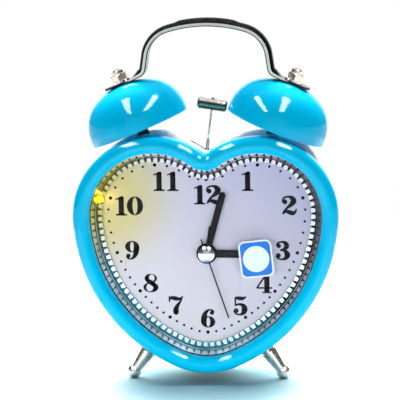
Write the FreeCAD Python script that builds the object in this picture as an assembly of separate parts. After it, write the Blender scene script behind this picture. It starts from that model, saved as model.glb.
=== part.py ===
import FreeCAD, Part
import math
import os

# Twin bell alarm clock with a heart-shaped case.
# Millimetres. X runs to the right across the dial, the dial faces -Y, +Z is up.
# Depths are counted from the front of the bezel towards the back of the clock.

V = FreeCAD.Vector

# Heart outline, as arcs
LOBE_OFFSET = 22.43        # lobe centre from the middle plane
LOBE_R = 34.92
SIDE_R = 73.17
TIP_R = 33.22
TIP_DROP = 68.52           # lobe centre line down to the tip
NOTCH_R = 3.0              # rounding in the notch between the lobes
TIP_CLEARANCE = 4.8        # tip of the heart above the table

# Depths and walls
BEZEL_WIDTH = 7.2          # half-round front ring, seen from the front
BEZEL_WALL = 0.7
BEZEL_SKIRT = 5.6          # straight part behind the half-round
BEZEL_LIP = 1.0
LENS_T = 1.2
LENS_INSET = 5.4           # outline of the lens inside the heart outline
RING_DEPTH = 6.4           # lens to dial
RING_WALL_INSET = 7.3      # front edge of the chrome wall
RING_FOOT_INSET = 10.1     # back edge of the chrome wall
RING_WALL_T = 0.8
RING_FLANGE_T = 0.7
TOOTH_LENGTH = 1.8
TOOTH_HEIGHT = 1.0
TOOTH_PITCH = 2.86
TOOTH_GAP = 0.85
DIAL_T = 0.6
DIAL_INSET = 6.6
DIAL_HOLE_R = 3.7
FRAME_T = 1.4
FRAME_HOLE_R = 6.0
FIT = 0.1                  # gap round a piece that is put into another
CASE_INSET = BEZEL_WALL + FIT
CASE_WALL = 1.0
CASE_DEPTH = 33.0          # length of the drum
CASE_EDGE_R = 4.0          # rounding of the drum's back edge
CASE_OPENING_INSET = 8.2   # edge of the back opening
COVER_T = 1.8
COVER_INSET = 5.2
RUN = 0.05                 # radial running clearance

# Dial centre
DIAL_CENTRE_DROP = 17.0    # below the lobe centre line

# Bells, handle and striker
MID_DEPTH = 25.0           # plane of bells, handle and striker
BELL_X = 29.5              # middle of the bell's rim
BELL_Z = 109.8
BELL_TILT = 22.2
BELL_R = 22.2
BELL_H = 20.9
BELL_WALL = 0.9
BELL_SHOULDER_R = 16.5
BELL_CROWN_R = 28.0
BELL_FLAT_R = 4.2
POST_R = 2.75
STUD_R = 1.5
STUD_BELOW = 5.9           # stud below the rim plane
STRAP_W = 11.0
TAB_T = 1.0
STRAP_T = 1.6
STRAP_BULGE = 1.6
GRIP_BULGE = 2.1
GRIP_HALF_ANGLE = 13.6
GRIP_RUN_OUT = 2.6
TAB_OUT = 8.0
TAB_FLAT = 4.8             # from the stud to the start of the strap's swell
TAB_IN = 11.3              # from the stud to the corner of the bend
LEG_LEAN = 8.5             # handle leg from the vertical
BEND_R = 4.5
CORNER_R = 12.5
CROWN_R = 58.0
CROWN_TOP = 154.2          # inner face of the handle's crown
WASHER_R = 4.0
WASHER_T = 0.6
NUT_FLATS = 6.6
NUT_H = 3.2
CAP_R = 2.6
CAP_H = 2.4
INNER_NUT_H = 2.2

# Feet
FOOT_DEPTH = 14.0
FOOT_X = 32.9
FOOT_BALL_R = 3.1
FOOT_FLAT = 0.25           # ground flat under each ball
FOOT_SPLAY = 35.0
LEG_TOP_R = 3.5
LEG_NECK_R = 2.1
LEG_BEAD_R = 3.2
LEG_BEAD_T = 1.9
LEG_GROOVE_R = 2.5
LEG_GROOVE_T = 0.5
LEG_WASHER_R = 4.4
LEG_WASHER_T = 0.8
STUD_INSIDE = 4.6          # end of the leg's stud inside the drum's outer face
REAR_FOOT_R = 4.0
REAR_FOOT_DEPTH = 34.0

# Movement housing, from the dial centre
HOUSING_LEFT = 26.0
HOUSING_RIGHT = 24.0
HOUSING_UP = 17.5
HOUSING_DOWN = 28.0
HOUSING_WALL = 1.2
HOUSING_SPLIT = 7.8        # depth of the front housing
HOUSING_DEPTH = 16.0
BUSH_R = 3.6
EAR = 6.0
SCREW_R = 1.1

# Wheels of the movement: teeth and modules
MODULE = 0.4
CANNON_TEETH = 12
MINUTE_TEETH = 36
MINUTE_PINION_TEETH = 10
HOUR_TEETH = 40
SETTING_TEETH = 12
ALARM_TEETH = 40
SECOND_PINION_TEETH = 8
THIRD_TEETH = 60
THIRD_PINION_TEETH = 8
CENTRE_TEETH = 64
SECOND_TEETH = 48
MID_PINION_TEETH = 8
MID_TEETH = 40
MID_MODULE = 0.35
ROTOR_PINION_TEETH = 8
MID_DIRECTION = -25.0      # degrees from +X, seen from the front
ROTOR_DIRECTION = -60.0
WHEEL_T = 0.9
LAYER = 1.2                # wheel layer to wheel layer
ARBOR_R = 0.5
STEM_R = 1.0
PIN_R = 0.6

# Hands, counted from the dial's face
HAND_T = 0.35
ALARM_HAND_RISE = 0.7
HOUR_HAND_RISE = 1.8
MINUTE_HAND_RISE = 2.9
SECOND_HAND_RISE = 3.9
HUB_R = 4.5
CAP_DOME_R = 3.5
CAP_DOME_H = 1.3
HOUR_HAND_LENGTH = 20.5
HOUR_HAND_WIDTH = 3.4
MINUTE_HAND_LENGTH = 28.2
MINUTE_HAND_WIDTH = 2.9
SECOND_HAND_LENGTH = 29.7
SECOND_HAND_TAIL = 7.0
SECOND_HAND_WIDTH = 0.6
ALARM_HAND_LENGTH = 12.0
ALARM_HAND_WIDTH = 1.4
HOUR_ANGLE = 91.0          # clockwise from 12
MINUTE_ANGLE = 15.4
SECOND_ANGLE = 161.4
ALARM_ANGLE = 8.0

# Knobs, slider, button, battery
KNOB_R = 5.5
KNOB_H = 8.5
KNOB_GAP = 0.5
KNOB_FLUTES = 20
CELL_R = 7.25
CELL_LENGTH = 49.3
CELL_CAP_R = 2.7
CELL_CAP_H = 1.2
CELL_DROP = 19.4           # cell axis below the dial centre
CONTACT_ROOM = 5.5         # contact plates and springs, both ends together
CELL_SIDE_GAP = 0.35
CELL_DOOR_GAP = 0.3
BAY_WALL = 1.1
DOOR_T = 1.2
HINGE_CHEEK = 2.0          # door end to the bay's end wall
HINGE_R = 0.8
BUTTON_X = 28.0
SWITCH_X = -28.0
CONTROL_RISE = 27.0        # button and slider above the dial centre
BUTTON_R = 4.0
BUTTON_PROUD = 3.0
SLIDER_TRAVEL = 5.0
SLIDER_W = 6.0
SLIDER_H = 4.0
LIGHT_SWITCH_W = 10.6
ALARM_SWITCH_W = 12.0
RIB_T = 1.8

# Lamp
LAMP_R = 2.1
LAMP_RISE = 24.4           # above the dial centre
LAMP_DEPTH = 9.2
LAMP_BACK = 5.0

# Striker drive
PIVOT_Z = 92.0
CRANK_DROP = 10.8
CRANK_THROW = 0.77
CRANK_TEETH = 35
MOTOR_TEETH = 9
MOTOR_DIRECTION = 10.0
CRANK_WHEEL_T = 1.4
CRANK_PIN_R = 0.45
ROCKER_T = 1.4
ROCKER_ARM = 13.2
ROCKER_W = 4.2
ROCKER_SLOT = 1.7
PLATE_T = 1.2
MOTOR_R = 6.0
HEAD_R = 2.6
HEAD_LENGTH = 13.0
HEAD_X = 2.15
HEAD_Z = 119.95
HEAD_TILT = 9.0
WIRE_R = 0.4
NECK_X = 0.2
NECK_Z = 104.9
SLOT_LENGTH = 16.0
SLOT_WIDTH = 5.0

# Places worked out from the sizes above
TUBE_R = BEZEL_WIDTH / 2.0
LENS_FRONT = TUBE_R + BEZEL_LIP
RING_FRONT = LENS_FRONT + LENS_T
DIAL_FRONT = RING_FRONT + RING_DEPTH
FRAME_FRONT = DIAL_FRONT + DIAL_T
HOUSING_FRONT = FRAME_FRONT + FRAME_T
HOUSING_BACK = HOUSING_FRONT + HOUSING_DEPTH
BAY_LENGTH = CELL_LENGTH + CELL_CAP_H + CONTACT_ROOM
BAY_HEIGHT = 2.0 * (CELL_R + CELL_SIDE_GAP)
DOOR_LENGTH = BAY_LENGTH - 2.0 * HINGE_CHEEK
CELL_DEPTH = HOUSING_BACK + 0.3 + BAY_WALL + BAY_HEIGHT / 2.0
CASE_FRONT = TUBE_R + BEZEL_SKIRT - 1.7
CASE_BACK = CASE_FRONT + CASE_DEPTH
COVER_BACK = CASE_BACK + COVER_T
OVERALL_DEPTH = COVER_BACK + KNOB_GAP + KNOB_H
FRONT_Y = -OVERALL_DEPTH / 2.0
LOBE_Z = TIP_CLEARANCE + TIP_DROP
NOTCH_Z = LOBE_Z + math.sqrt((LOBE_R + NOTCH_R) ** 2 - LOBE_OFFSET ** 2)
DIAL_Z = LOBE_Z - DIAL_CENTRE_DROP
TIP_CENTRE_Z = TIP_CLEARANCE + TIP_R
ROCKER_REST = math.degrees(math.atan2(CRANK_THROW, CRANK_DROP))   # at the right end of the swing


def at(x, depth, z):
    """A point from its X, its depth behind the bezel's front, and its Z."""
    return V(x, FRONT_Y + depth, z)


def side_centre():
    """Centre of the right flank's arc, tangent inside to the lobe and tip arcs."""
    lobe = (LOBE_OFFSET, LOBE_Z)
    tip = (0.0, TIP_CENTRE_Z)
    apart = math.hypot(tip[0] - lobe[0], tip[1] - lobe[1])
    to_lobe = SIDE_R - LOBE_R
    to_tip = SIDE_R - TIP_R
    along = (to_lobe ** 2 - to_tip ** 2 + apart ** 2) / (2.0 * apart)
    across = math.sqrt(to_lobe ** 2 - along ** 2)
    ux, uz = (tip[0] - lobe[0]) / apart, (tip[1] - lobe[1]) / apart
    return (lobe[0] + ux * along + uz * across, lobe[1] + uz * along - ux * across)


def heading(start, end):
    """Angle in degrees from one point towards another in the XZ plane."""
    return math.degrees(math.atan2(end[1] - start[1], end[0] - start[0]))


def heart_arcs():
    """Arcs of the outline, anticlockwise from the notch: centre, radius, inward sign, angles."""
    side = side_centre()
    lobe = (LOBE_OFFSET, LOBE_Z)
    tip = (0.0, TIP_CENTRE_Z)
    notch = (0.0, NOTCH_Z)
    a_notch = heading(lobe, notch)
    a_side = heading(side, lobe)
    a_tip = heading(side, tip)
    left_lobe = (-lobe[0], lobe[1])
    left_side = (-side[0], side[1])
    return [
        (lobe, LOBE_R, -1, a_side, a_notch),
        (notch, NOTCH_R, 1, a_notch - 180.0, -a_notch),
        (left_lobe, LOBE_R, -1, 180.0 - a_notch, 180.0 - a_side),
        (left_side, SIDE_R, -1, 180.0 - a_side, 180.0 - a_tip),
        (tip, TIP_R, -1, -180.0 - a_tip, a_tip),
        (side, SIDE_R, -1, a_tip, a_side),
    ]


def arc_point(centre, radius, degrees, depth):
    a = math.radians(degrees)
    return at(centre[0] + radius * math.cos(a), depth, centre[1] + radius * math.sin(a))


def heart_face(inset, depth):
    """Flat heart at a depth, its outline a distance inside the heart outline."""
    edges = []
    for centre, radius, sign, a0, a1 in heart_arcs():
        r = radius + sign * inset
        pts = [arc_point(centre, r, a, depth) for a in (a0, (a0 + a1) / 2.0, a1)]
        edges.append(Part.Arc(*pts).toShape())
    return Part.Face(Part.Wire(Part.__sortEdges__(edges)))


def heart_plate(inset, depth, thickness):
    return heart_face(inset, depth).extrude(V(0, thickness, 0))


def heart_ring(profile):
    """Carry a profile round the heart. It is a list of (inset, depth) corners; a third item
    in a corner is the (inset, depth) that the arc to it passes through."""
    ring = None
    for centre, radius, sign, a0, a1 in heart_arcs():
        def place(corner):
            return arc_point(centre, radius + sign * corner[0], a0, corner[1])
        edges = []
        for i, corner in enumerate(profile):
            start = place(profile[i - 1])
            end = place(corner)
            if len(corner) > 2:
                edges.append(Part.Arc(start, place(corner[2]), end).toShape())
            else:
                edges.append(Part.LineSegment(start, end).toShape())
        face = Part.Face(Part.Wire(Part.__sortEdges__(edges)))
        piece = face.revolve(at(centre[0], 0, centre[1]), V(0, -1, 0), a1 - a0)
        ring = piece if ring is None else ring.fuse(piece)
    return ring.removeSplitter()


def heart_stations(inset, pitch):
    """Evenly spaced points and outward angles round the heart outline at an inset."""
    arcs = [(c, r + s * inset, s, a0, a1) for c, r, s, a0, a1 in heart_arcs()]
    lengths = [math.radians(a1 - a0) * r if s < 0 else math.radians(abs(a1 - a0)) * r
               for c, r, s, a0, a1 in arcs]
    total = sum(abs(length) for length in lengths)
    count = int(round(total / pitch))
    stations = []
    for i in range(count):
        left = total * (i + 0.5) / count
        for (c, r, s, a0, a1), length in zip(arcs, lengths):
            if left <= abs(length):
                a = a0 + (a1 - a0) * left / abs(length)
                stations.append((arc_point(c, r, a, 0.0), a))
                break
            left -= abs(length)
    return stations


def solid_of(shape):
    """The single solid in a shape, or the shape itself."""
    return shape.Solids[0] if len(shape.Solids) == 1 else shape


def rod(x, z, depth, length, radius):
    """Cylinder along the depth direction."""
    return Part.makeCylinder(radius, length, at(x, depth, z), V(0, 1, 0))


def tube(x, z, depth, length, outer, inner):
    return rod(x, z, depth, length, outer).cut(rod(x, z, depth - 1, length + 2, inner))


def block(x0, x1, depth0, depth1, z0, z1):
    return Part.makeBox(x1 - x0, depth1 - depth0, z1 - z0, at(x0, depth0, z0))


def polar(degrees, distance):
    """X and Z offset at an angle from +X towards +Z."""
    a = math.radians(degrees)
    return distance * math.cos(a), distance * math.sin(a)


def gear(x, z, depth, thickness, teeth, module, bore, tooth_at):
    """Spur wheel with straight-flanked teeth; one tooth is centred on an angle."""
    pitch_r = teeth * module / 2.0
    tip_r = pitch_r + 0.72 * module
    root_r = pitch_r - 1.05 * module
    step = 360.0 / teeth
    half_root, half_pitch, half_tip = 0.27 * step, 0.19 * step, 0.09 * step
    points = []
    for i in range(teeth):
        a = tooth_at + i * step
        for r, off in ((root_r, -half_root), (pitch_r, -half_pitch), (tip_r, -half_tip),
                       (tip_r, half_tip), (pitch_r, half_pitch), (root_r, half_root)):
            dx, dz = polar(a + off, r)
            points.append(at(x + dx, depth, z + dz))
    points.append(points[0])
    wheel = Part.Face(Part.makePolygon(points)).extrude(V(0, thickness, 0))
    if bore:
        wheel = wheel.cut(rod(x, z, depth - 1, thickness + 2, bore))
    return wheel


def mesh_distance(teeth_a, teeth_b, module=MODULE):
    return (teeth_a + teeth_b) * module / 2.0


def fused(first, *others):
    shape = first
    for other in others:
        shape = shape.fuse(other)
    return shape.removeSplitter()


# Case and front

def front_bezel():
    r = TUBE_R
    inner = r - BEZEL_WALL
    slant = math.sqrt(0.5)
    skirt_end = r + BEZEL_SKIRT
    return heart_ring([
        (0.0, skirt_end),
        (0.0, r),
        (r, 0.0, (r - r * slant, r - r * slant)),
        (2 * r, r, (r + r * slant, r - r * slant)),
        (2 * r, LENS_FRONT),
        (2 * r - BEZEL_WALL, LENS_FRONT),
        (2 * r - BEZEL_WALL, r),
        (r, BEZEL_WALL, (r + inner * slant, r - inner * slant)),
        (BEZEL_WALL, r, (r - inner * slant, r - inner * slant)),
        (BEZEL_WALL, skirt_end),
    ])


def lens():
    return heart_plate(LENS_INSET, LENS_FRONT, LENS_T)


def inner_ring():
    """Chrome wall that slopes in to the dial, with a row of block teeth at its foot."""
    back = DIAL_FRONT
    foot = back - RING_FLANGE_T
    tooth_end = RING_FOOT_INSET + TOOTH_LENGTH
    ring = heart_ring([
        (RING_WALL_INSET, RING_FRONT),
        (RING_FOOT_INSET, foot - TOOTH_HEIGHT),
        (tooth_end, foot - TOOTH_HEIGHT),
        (tooth_end, back),
        (RING_FOOT_INSET - RING_WALL_T, back),
        (RING_WALL_INSET - RING_WALL_T, RING_FRONT),
    ])
    gaps = []
    for point, angle in heart_stations(RING_FOOT_INSET + TOOTH_LENGTH / 2.0, TOOTH_PITCH):
        gap = Part.makeBox(TOOTH_LENGTH + 0.1, TOOTH_HEIGHT + 1.0, TOOTH_GAP,
                           V(-TOOTH_LENGTH / 2.0 - 0.05, -1.0, -TOOTH_GAP / 2.0))
        gap.rotate(V(0, 0, 0), V(0, -1, 0), angle)
        gap.translate(V(point.x, FRONT_Y + foot, point.z))
        gaps.append(gap)
    return ring.cut(Part.makeCompound(gaps)).cut(lamp_shape(LAMP_R + RUN, LAMP_BACK, True)).cut(
        lamp_shape(LAMP_R + 0.35 + RUN, LAMP_BACK, False).common(lamp_back_half()))


def dial():
    plate = heart_plate(DIAL_INSET, DIAL_FRONT, DIAL_T)
    return plate.cut(rod(0, DIAL_Z, DIAL_FRONT - 1, DIAL_T + 2, DIAL_HOLE_R))


def dial_frame():
    """Plastic carrier behind the dial, tight in the drum."""
    plate = heart_plate(CASE_INSET + CASE_WALL + FIT, FRAME_FRONT, FRAME_T)
    plate = plate.cut(rod(0, DIAL_Z, FRAME_FRONT - 1, FRAME_T + 2, FRAME_HOLE_R))
    for x, z in ear_places():
        plate = plate.cut(rod(x, z, FRAME_FRONT + 0.2, FRAME_T, SCREW_R))
    for side in (-1, 1):
        notch = Part.makeCylinder(NUT_FLATS / math.sqrt(3.0) + 0.3, 12, V(0, 0, leg_reach() - 1))
        plate = plate.cut(on_leg_axis(notch, side))
    return plate


def case_shell():
    """Drum behind the bezel, its back edge rolled in, with holes for studs, legs and striker."""
    i = CASE_INSET
    r = CASE_EDGE_R
    inner = r - CASE_WALL
    turn = r - r * math.sqrt(0.5)
    inner_turn = CASE_WALL + inner - inner * math.sqrt(0.5)
    shell = heart_ring([
        (i, CASE_FRONT),
        (i, CASE_BACK - r),
        (i + r, CASE_BACK, (i + turn, CASE_BACK - turn)),
        (CASE_OPENING_INSET, CASE_BACK),
        (CASE_OPENING_INSET, CASE_BACK - CASE_WALL),
        (i + r, CASE_BACK - CASE_WALL),
        (i + CASE_WALL, CASE_BACK - r, (i + inner_turn, CASE_BACK - inner_turn)),
        (i + CASE_WALL, CASE_FRONT),
    ])
    shell = shell.cut(block(-SLOT_LENGTH / 2, SLOT_LENGTH / 2, MID_DEPTH - SLOT_WIDTH / 2,
                            MID_DEPTH + SLOT_WIDTH / 2, LOBE_Z + 10, NOTCH_Z + 10))
    for side in (-1, 1):
        shell = shell.cut(on_bell_axis(Part.makeCylinder(STUD_R, 16, V(0, 0, -16)), side))
        shell = shell.cut(on_leg_axis(Part.makeCylinder(STUD_R, 12, V(0, 0, leg_reach() - 6)), side))
    for x, z in cover_screw_places():
        shell = shell.cut(rod(x, z, CASE_BACK - 3, 6, SCREW_R))
    shell = shell.cut(Part.makeCylinder(STUD_R, 8, at(0, REAR_FOOT_DEPTH, 3), V(0, 0, 1)))
    return shell


def drum_envelope():
    """Solid heart of the drum's outside."""
    return heart_plate(CASE_INSET, CASE_FRONT, CASE_DEPTH)


def drum_inside():
    return heart_plate(CASE_INSET + CASE_WALL, CASE_FRONT - 1, CASE_DEPTH - CASE_WALL - CASE_EDGE_R)


def cover_screw_places():
    """Five screws round the back flange."""
    inset = (CASE_OPENING_INSET + CASE_INSET + CASE_EDGE_R) / 2.0
    lobe_r = LOBE_R - inset
    lx, lz = polar(62.0, lobe_r)
    sx, sz = side_centre()
    fx, fz = polar(-24.0, SIDE_R - inset)
    places = [(0.0, TIP_CENTRE_Z - TIP_R + inset)]
    for side in (-1, 1):
        places.append((side * (LOBE_OFFSET + lx), LOBE_Z + lz))
        places.append((side * (sx + fx), sz + fz))
    return places


# Back cover and battery

def bay_box(grow=0.0):
    """Inside of the battery box, optionally with its walls."""
    z = DIAL_Z - CELL_DROP
    half = BAY_LENGTH / 2.0 + grow
    high = BAY_HEIGHT / 2.0 + grow
    return block(-half, half, CELL_DEPTH - BAY_HEIGHT / 2.0 - grow, bay_back(), z - high, z + high)


def bay_back():
    """Depth of the battery box's rim, where the door's face is flush."""
    return CELL_DEPTH + CELL_R + CELL_DOOR_GAP + DOOR_T


def door_sizes():
    """Lowest and highest Z of the door."""
    z = DIAL_Z - CELL_DROP
    return z - BAY_HEIGHT / 2.0 + FIT, z + BAY_HEIGHT / 2.0 - FIT


def back_cover():
    plate = heart_plate(COVER_INSET, CASE_BACK, COVER_T)
    cover = plate.makeFillet(0.6, rim_edges(plate, CASE_BACK + COVER_T))
    cover = cover.fuse(bay_box(BAY_WALL))
    cover = cover.cut(bay_box(0.0).fuse(bay_box(0.0).translated(V(0, 1, 0))))
    z0, z1 = door_sizes()
    hinge_z, hinge_d = hinge_axis()
    room = DOOR_LENGTH / 2.0 + FIT
    swing = Part.makeCylinder(DOOR_T + 0.5, 2 * room, at(-room, hinge_d, hinge_z), V(1, 0, 0))
    open_edge = block(-room, room, hinge_d, bay_back() + 1, z0 - BAY_WALL - 1, hinge_z)
    cover = cover.cut(swing).cut(open_edge)
    for side in (-1, 1):
        lo, hi = sorted((side * room, side * (BAY_LENGTH / 2.0 + 0.2)))
        cheek = block(lo, hi, bay_back() - DOOR_T - 1.2, bay_back(), z0 - 0.3, z1 + 0.3)
        pin_hole = Part.makeCylinder(HINGE_R + RUN, hi - lo + 0.4, at(lo - 0.2, hinge_d, hinge_z), V(1, 0, 0))
        cover = cover.fuse(cheek).cut(pin_hole)
    for x, stem_z in ((time_stem_x(), DIAL_Z), (-alarm_stem_x(), DIAL_Z)):
        cover = cover.cut(rod(x, stem_z, CASE_BACK - 2, 6, STEM_R + RUN))
    z = DIAL_Z + CONTROL_RISE
    sleeve = rod(BUTTON_X, z, CASE_BACK - 3.0, 3.5, BUTTON_R + 1.0)
    cover = cover.fuse(sleeve).cut(rod(BUTTON_X, z, CASE_BACK - 4, 8, BUTTON_R + RUN))
    for x, half, reach in ((BUTTON_X, LIGHT_SWITCH_W / 2.0, 10.0), (SWITCH_X, ALARM_SWITCH_W / 2.0, 5.0)):
        for side in (-1, 1):
            middle = x + side * (half + RIB_T / 2.0)
            cover = cover.fuse(block(middle - RIB_T / 2.0, middle + RIB_T / 2.0, CASE_BACK - reach,
                                     CASE_BACK + 0.2, z - 2.5, z + 2.5))
    cover = cover.cut(block(SWITCH_X - 1.6, SWITCH_X + 1.6, CASE_BACK - 1, CASE_BACK + COVER_T + 1,
                            z - 4.4, z + 4.4))
    for x, z in frame_post_places():
        post = rod(x, z, plate_back(), CASE_BACK - plate_back() + 0.2, 2.4)
        cover = cover.fuse(post.cut(rod(x, z, plate_back() - 1, 8, SCREW_R)))
    for x, z in cover_screw_places():
        cover = cover.cut(rod(x, z, CASE_BACK - 3, 6, SCREW_R))
    return solid_of(cover.removeSplitter())


def rim_edges(plate, depth):
    y = FRONT_Y + depth
    return [e for e in plate.Edges if all(abs(v.Point.y - y) < 1e-6 for v in e.Vertexes)]


def cover_screws():
    screws = []
    for x, z in cover_screw_places():
        shank = rod(x, z, CASE_BACK - 2.2, 2.2 + COVER_T, SCREW_R)
        head = rod(x, z, COVER_BACK, 1.3, 2.0)
        slot = block(x - 1.2, x + 1.2, COVER_BACK + 0.7, COVER_BACK + 2, z - 0.25, z + 0.25)
        cross = block(x - 0.25, x + 0.25, COVER_BACK + 0.7, COVER_BACK + 2, z - 1.2, z + 1.2)
        screws.append(head.fuse(shank).cut(slot).cut(cross).removeSplitter())
    return Part.makeCompound(screws)


def hinge_axis():
    """Height and depth of the battery door's hinge line, at the door's lower edge."""
    z0, z1 = door_sizes()
    return z0 + HINGE_R + 0.2, bay_back() - DOOR_T - 0.3


def battery_door():
    z0, z1 = door_sizes()
    half = DOOR_LENGTH / 2.0
    back = bay_back()
    hinge_z, hinge_d = hinge_axis()
    panel = block(-half, half, back - DOOR_T, back, hinge_z, z1)
    lower = Part.makeCylinder(DOOR_T, DOOR_LENGTH, at(-half, hinge_d + 0.3, hinge_z), V(1, 0, 0))
    lower = lower.common(block(-half, half, hinge_d - 0.2, back, z0, hinge_z + 1))
    pin = Part.makeCylinder(HINGE_R, DOOR_LENGTH + 2.2, at(-half - 1.1, hinge_d, hinge_z), V(1, 0, 0))
    grip = block(-5.0, 5.0, back - 0.4, back + 1, z1 - 2.4, z1 - 1.6)
    return solid_of(fused(panel, lower, pin).cut(grip))


def battery_cell():
    z = DIAL_Z - CELL_DROP
    half = CELL_LENGTH / 2.0
    can = Part.makeCylinder(CELL_R, CELL_LENGTH, at(-half, CELL_DEPTH, z), V(1, 0, 0))
    can = can.makeFillet(0.6, can.Edges)
    cap = Part.makeCylinder(CELL_CAP_R, CELL_CAP_H + 0.5, at(half - 0.5, CELL_DEPTH, z), V(1, 0, 0))
    return solid_of(fused(can, cap))


def battery_contacts():
    """Contact plates on the end walls, with a dimple for plus and a spring cone for minus."""
    z = DIAL_Z - CELL_DROP
    half = BAY_LENGTH / 2.0
    t = 0.4
    contacts = []
    plus_end = CELL_LENGTH / 2.0 + CELL_CAP_H
    minus_end = CELL_LENGTH / 2.0
    for side, reach, wide, narrow in ((1, plus_end, 2.6, 2.0), (-1, minus_end, 4.0, 2.4)):
        x0, x1 = sorted((side * half, side * (half - t)))
        plate = block(x0, x1, CELL_DEPTH - 4, CELL_DEPTH + 4, z - 5, z + 5)
        foot = at(side * (half - t), CELL_DEPTH, z)
        cone = Part.makeCone(wide, narrow, half - t - reach, foot, V(-side, 0, 0))
        contacts.append(fused(plate, cone))
    return Part.makeCompound(contacts)


# Movement

def ear_places():
    """Screw ears of the movement, left and right."""
    xs = (-HOUSING_LEFT - EAR / 2.0, HOUSING_RIGHT + EAR / 2.0)
    return [(x, DIAL_Z + dz) for x in xs for dz in (10.0, -16.0)]


def layer(index):
    """Depth of a wheel layer's front, counted from the front plate."""
    return HOUSING_FRONT + HOUSING_WALL + 0.2 + index * LAYER


def time_stem_x():
    return mesh_distance(CANNON_TEETH, MINUTE_TEETH) + mesh_distance(MINUTE_TEETH, SETTING_TEETH)


def alarm_stem_x():
    return mesh_distance(ALARM_TEETH, ALARM_TEETH)


def minute_place():
    return mesh_distance(CANNON_TEETH, MINUTE_TEETH), DIAL_Z


def third_place():
    return 0.0, DIAL_Z - mesh_distance(THIRD_TEETH, SECOND_PINION_TEETH)


def mid_place():
    dx, dz = polar(MID_DIRECTION, mesh_distance(SECOND_TEETH, MID_PINION_TEETH))
    return dx, DIAL_Z + dz


def rotor_place():
    x, z = mid_place()
    dx, dz = polar(ROTOR_DIRECTION, mesh_distance(MID_TEETH, ROTOR_PINION_TEETH, MID_MODULE))
    return x + dx, z + dz


def housing_shell(front, depth, floor_at_front):
    """Open box of the movement, its floor at the front or at the back."""
    w = HOUSING_WALL
    low, high = DIAL_Z - HOUSING_DOWN, DIAL_Z + HOUSING_UP
    outer = block(-HOUSING_LEFT, HOUSING_RIGHT, front, front + depth, low, high)
    start = front + w if floor_at_front else front - 1
    end = front + depth + 1 if floor_at_front else front + depth - w
    return outer.cut(block(-HOUSING_LEFT + w, HOUSING_RIGHT - w, start, end, low + w, high - w))


def movement_front_housing():
    shell = housing_shell(HOUSING_FRONT, HOUSING_SPLIT, True)
    bush = rod(0, DIAL_Z, DIAL_FRONT + 0.1, HOUSING_FRONT - DIAL_FRONT + 0.1, BUSH_R)
    shell = shell.fuse(bush)
    for x, z in ear_places():
        side = 1 if x > 0 else -1
        reach = (EAR / 2.0 + 0.5) * side
        shell = shell.fuse(block(min(x + EAR / 2.0 * side, x - reach), max(x + EAR / 2.0 * side, x - reach),
                                 HOUSING_FRONT, HOUSING_FRONT + 2.0, z - 3.0, z + 3.0))
        shell = shell.cut(rod(x, z, HOUSING_FRONT - 1, 5, SCREW_R))
    mx, mz = minute_place()
    shell = shell.fuse(rod(mx, mz, HOUSING_FRONT + 0.2, layer(3) - HOUSING_FRONT - 0.5, PIN_R))
    shell = shell.cut(rod(0, DIAL_Z, DIAL_FRONT - 1, 8, alarm_pipe_r() + RUN))
    return solid_of(shell.removeSplitter())


def movement_rear_housing():
    front = HOUSING_FRONT + HOUSING_SPLIT
    shell = housing_shell(front, HOUSING_DEPTH - HOUSING_SPLIT, False)
    floor = HOUSING_BACK - 0.2
    for (x, z), start in ((third_place(), layer(3) + 0.1), (mid_place(), layer(5) - 0.2)):
        shell = shell.fuse(rod(x, z, start, floor - start, PIN_R))
    boss = rod(0, DIAL_Z, layer(6) + 0.5, floor - layer(6) - 0.5, 1.6)
    shell = shell.fuse(boss).cut(rod(0, DIAL_Z, layer(6), floor - layer(6) - 0.4, ARBOR_R + RUN))
    rx, rz = rotor_place()
    cup = rod(rx, rz, layer(8) + 0.8, floor - layer(8) - 0.8, 1.2)
    shell = shell.fuse(cup).cut(rod(rx, rz, layer(8), floor - layer(8) - 0.4, PIN_R / 2 + RUN))
    for x in (time_stem_x(), -alarm_stem_x()):
        shell = shell.cut(rod(x, DIAL_Z, HOUSING_BACK - 3, 5, STEM_R + RUN))
    return solid_of(shell.removeSplitter())


def movement_screws():
    screws = []
    for x, z in ear_places():
        shank = rod(x, z, FRAME_FRONT + 0.3, HOUSING_FRONT + 2.0 - FRAME_FRONT - 0.3, SCREW_R)
        screws.append(shank.fuse(rod(x, z, HOUSING_FRONT + 2.0, 1.1, 2.0)).removeSplitter())
    return Part.makeCompound(screws)


def cannon_r():
    return ARBOR_R + RUN + 0.55


def hour_pipe_r():
    return cannon_r() + RUN + 0.6


def alarm_pipe_r():
    return hour_pipe_r() + RUN + 0.6


def alarm_wheel():
    depth = layer(0)
    front = DIAL_FRONT - ALARM_HAND_RISE - HAND_T
    pipe = tube(0, DIAL_Z, front, depth + WHEEL_T - front, alarm_pipe_r(), hour_pipe_r() + RUN)
    wheel = gear(0, DIAL_Z, depth, WHEEL_T, ALARM_TEETH, MODULE, hour_pipe_r() + RUN, 180.0)
    return fused(pipe, wheel)


def hour_wheel():
    depth = layer(1)
    front = DIAL_FRONT - HOUR_HAND_RISE - HAND_T
    module = MODULE * (CANNON_TEETH + MINUTE_TEETH) / float(MINUTE_PINION_TEETH + HOUR_TEETH)
    pipe = tube(0, DIAL_Z, front, depth + WHEEL_T - front, hour_pipe_r(), cannon_r() + RUN)
    wheel = gear(0, DIAL_Z, depth, WHEEL_T, HOUR_TEETH, module, cannon_r() + RUN, 0.0)
    return fused(pipe, wheel)


def minute_wheel():
    x, z = minute_place()
    module = MODULE * (CANNON_TEETH + MINUTE_TEETH) / float(MINUTE_PINION_TEETH + HOUR_TEETH)
    bore = PIN_R + RUN
    pinion = gear(x, z, layer(1), LAYER + 0.1, MINUTE_PINION_TEETH, module, bore,
                  180.0 + 180.0 / MINUTE_PINION_TEETH)
    wheel = gear(x, z, layer(2), WHEEL_T, MINUTE_TEETH, MODULE, bore, 180.0)
    return fused(wheel, pinion)


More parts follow.
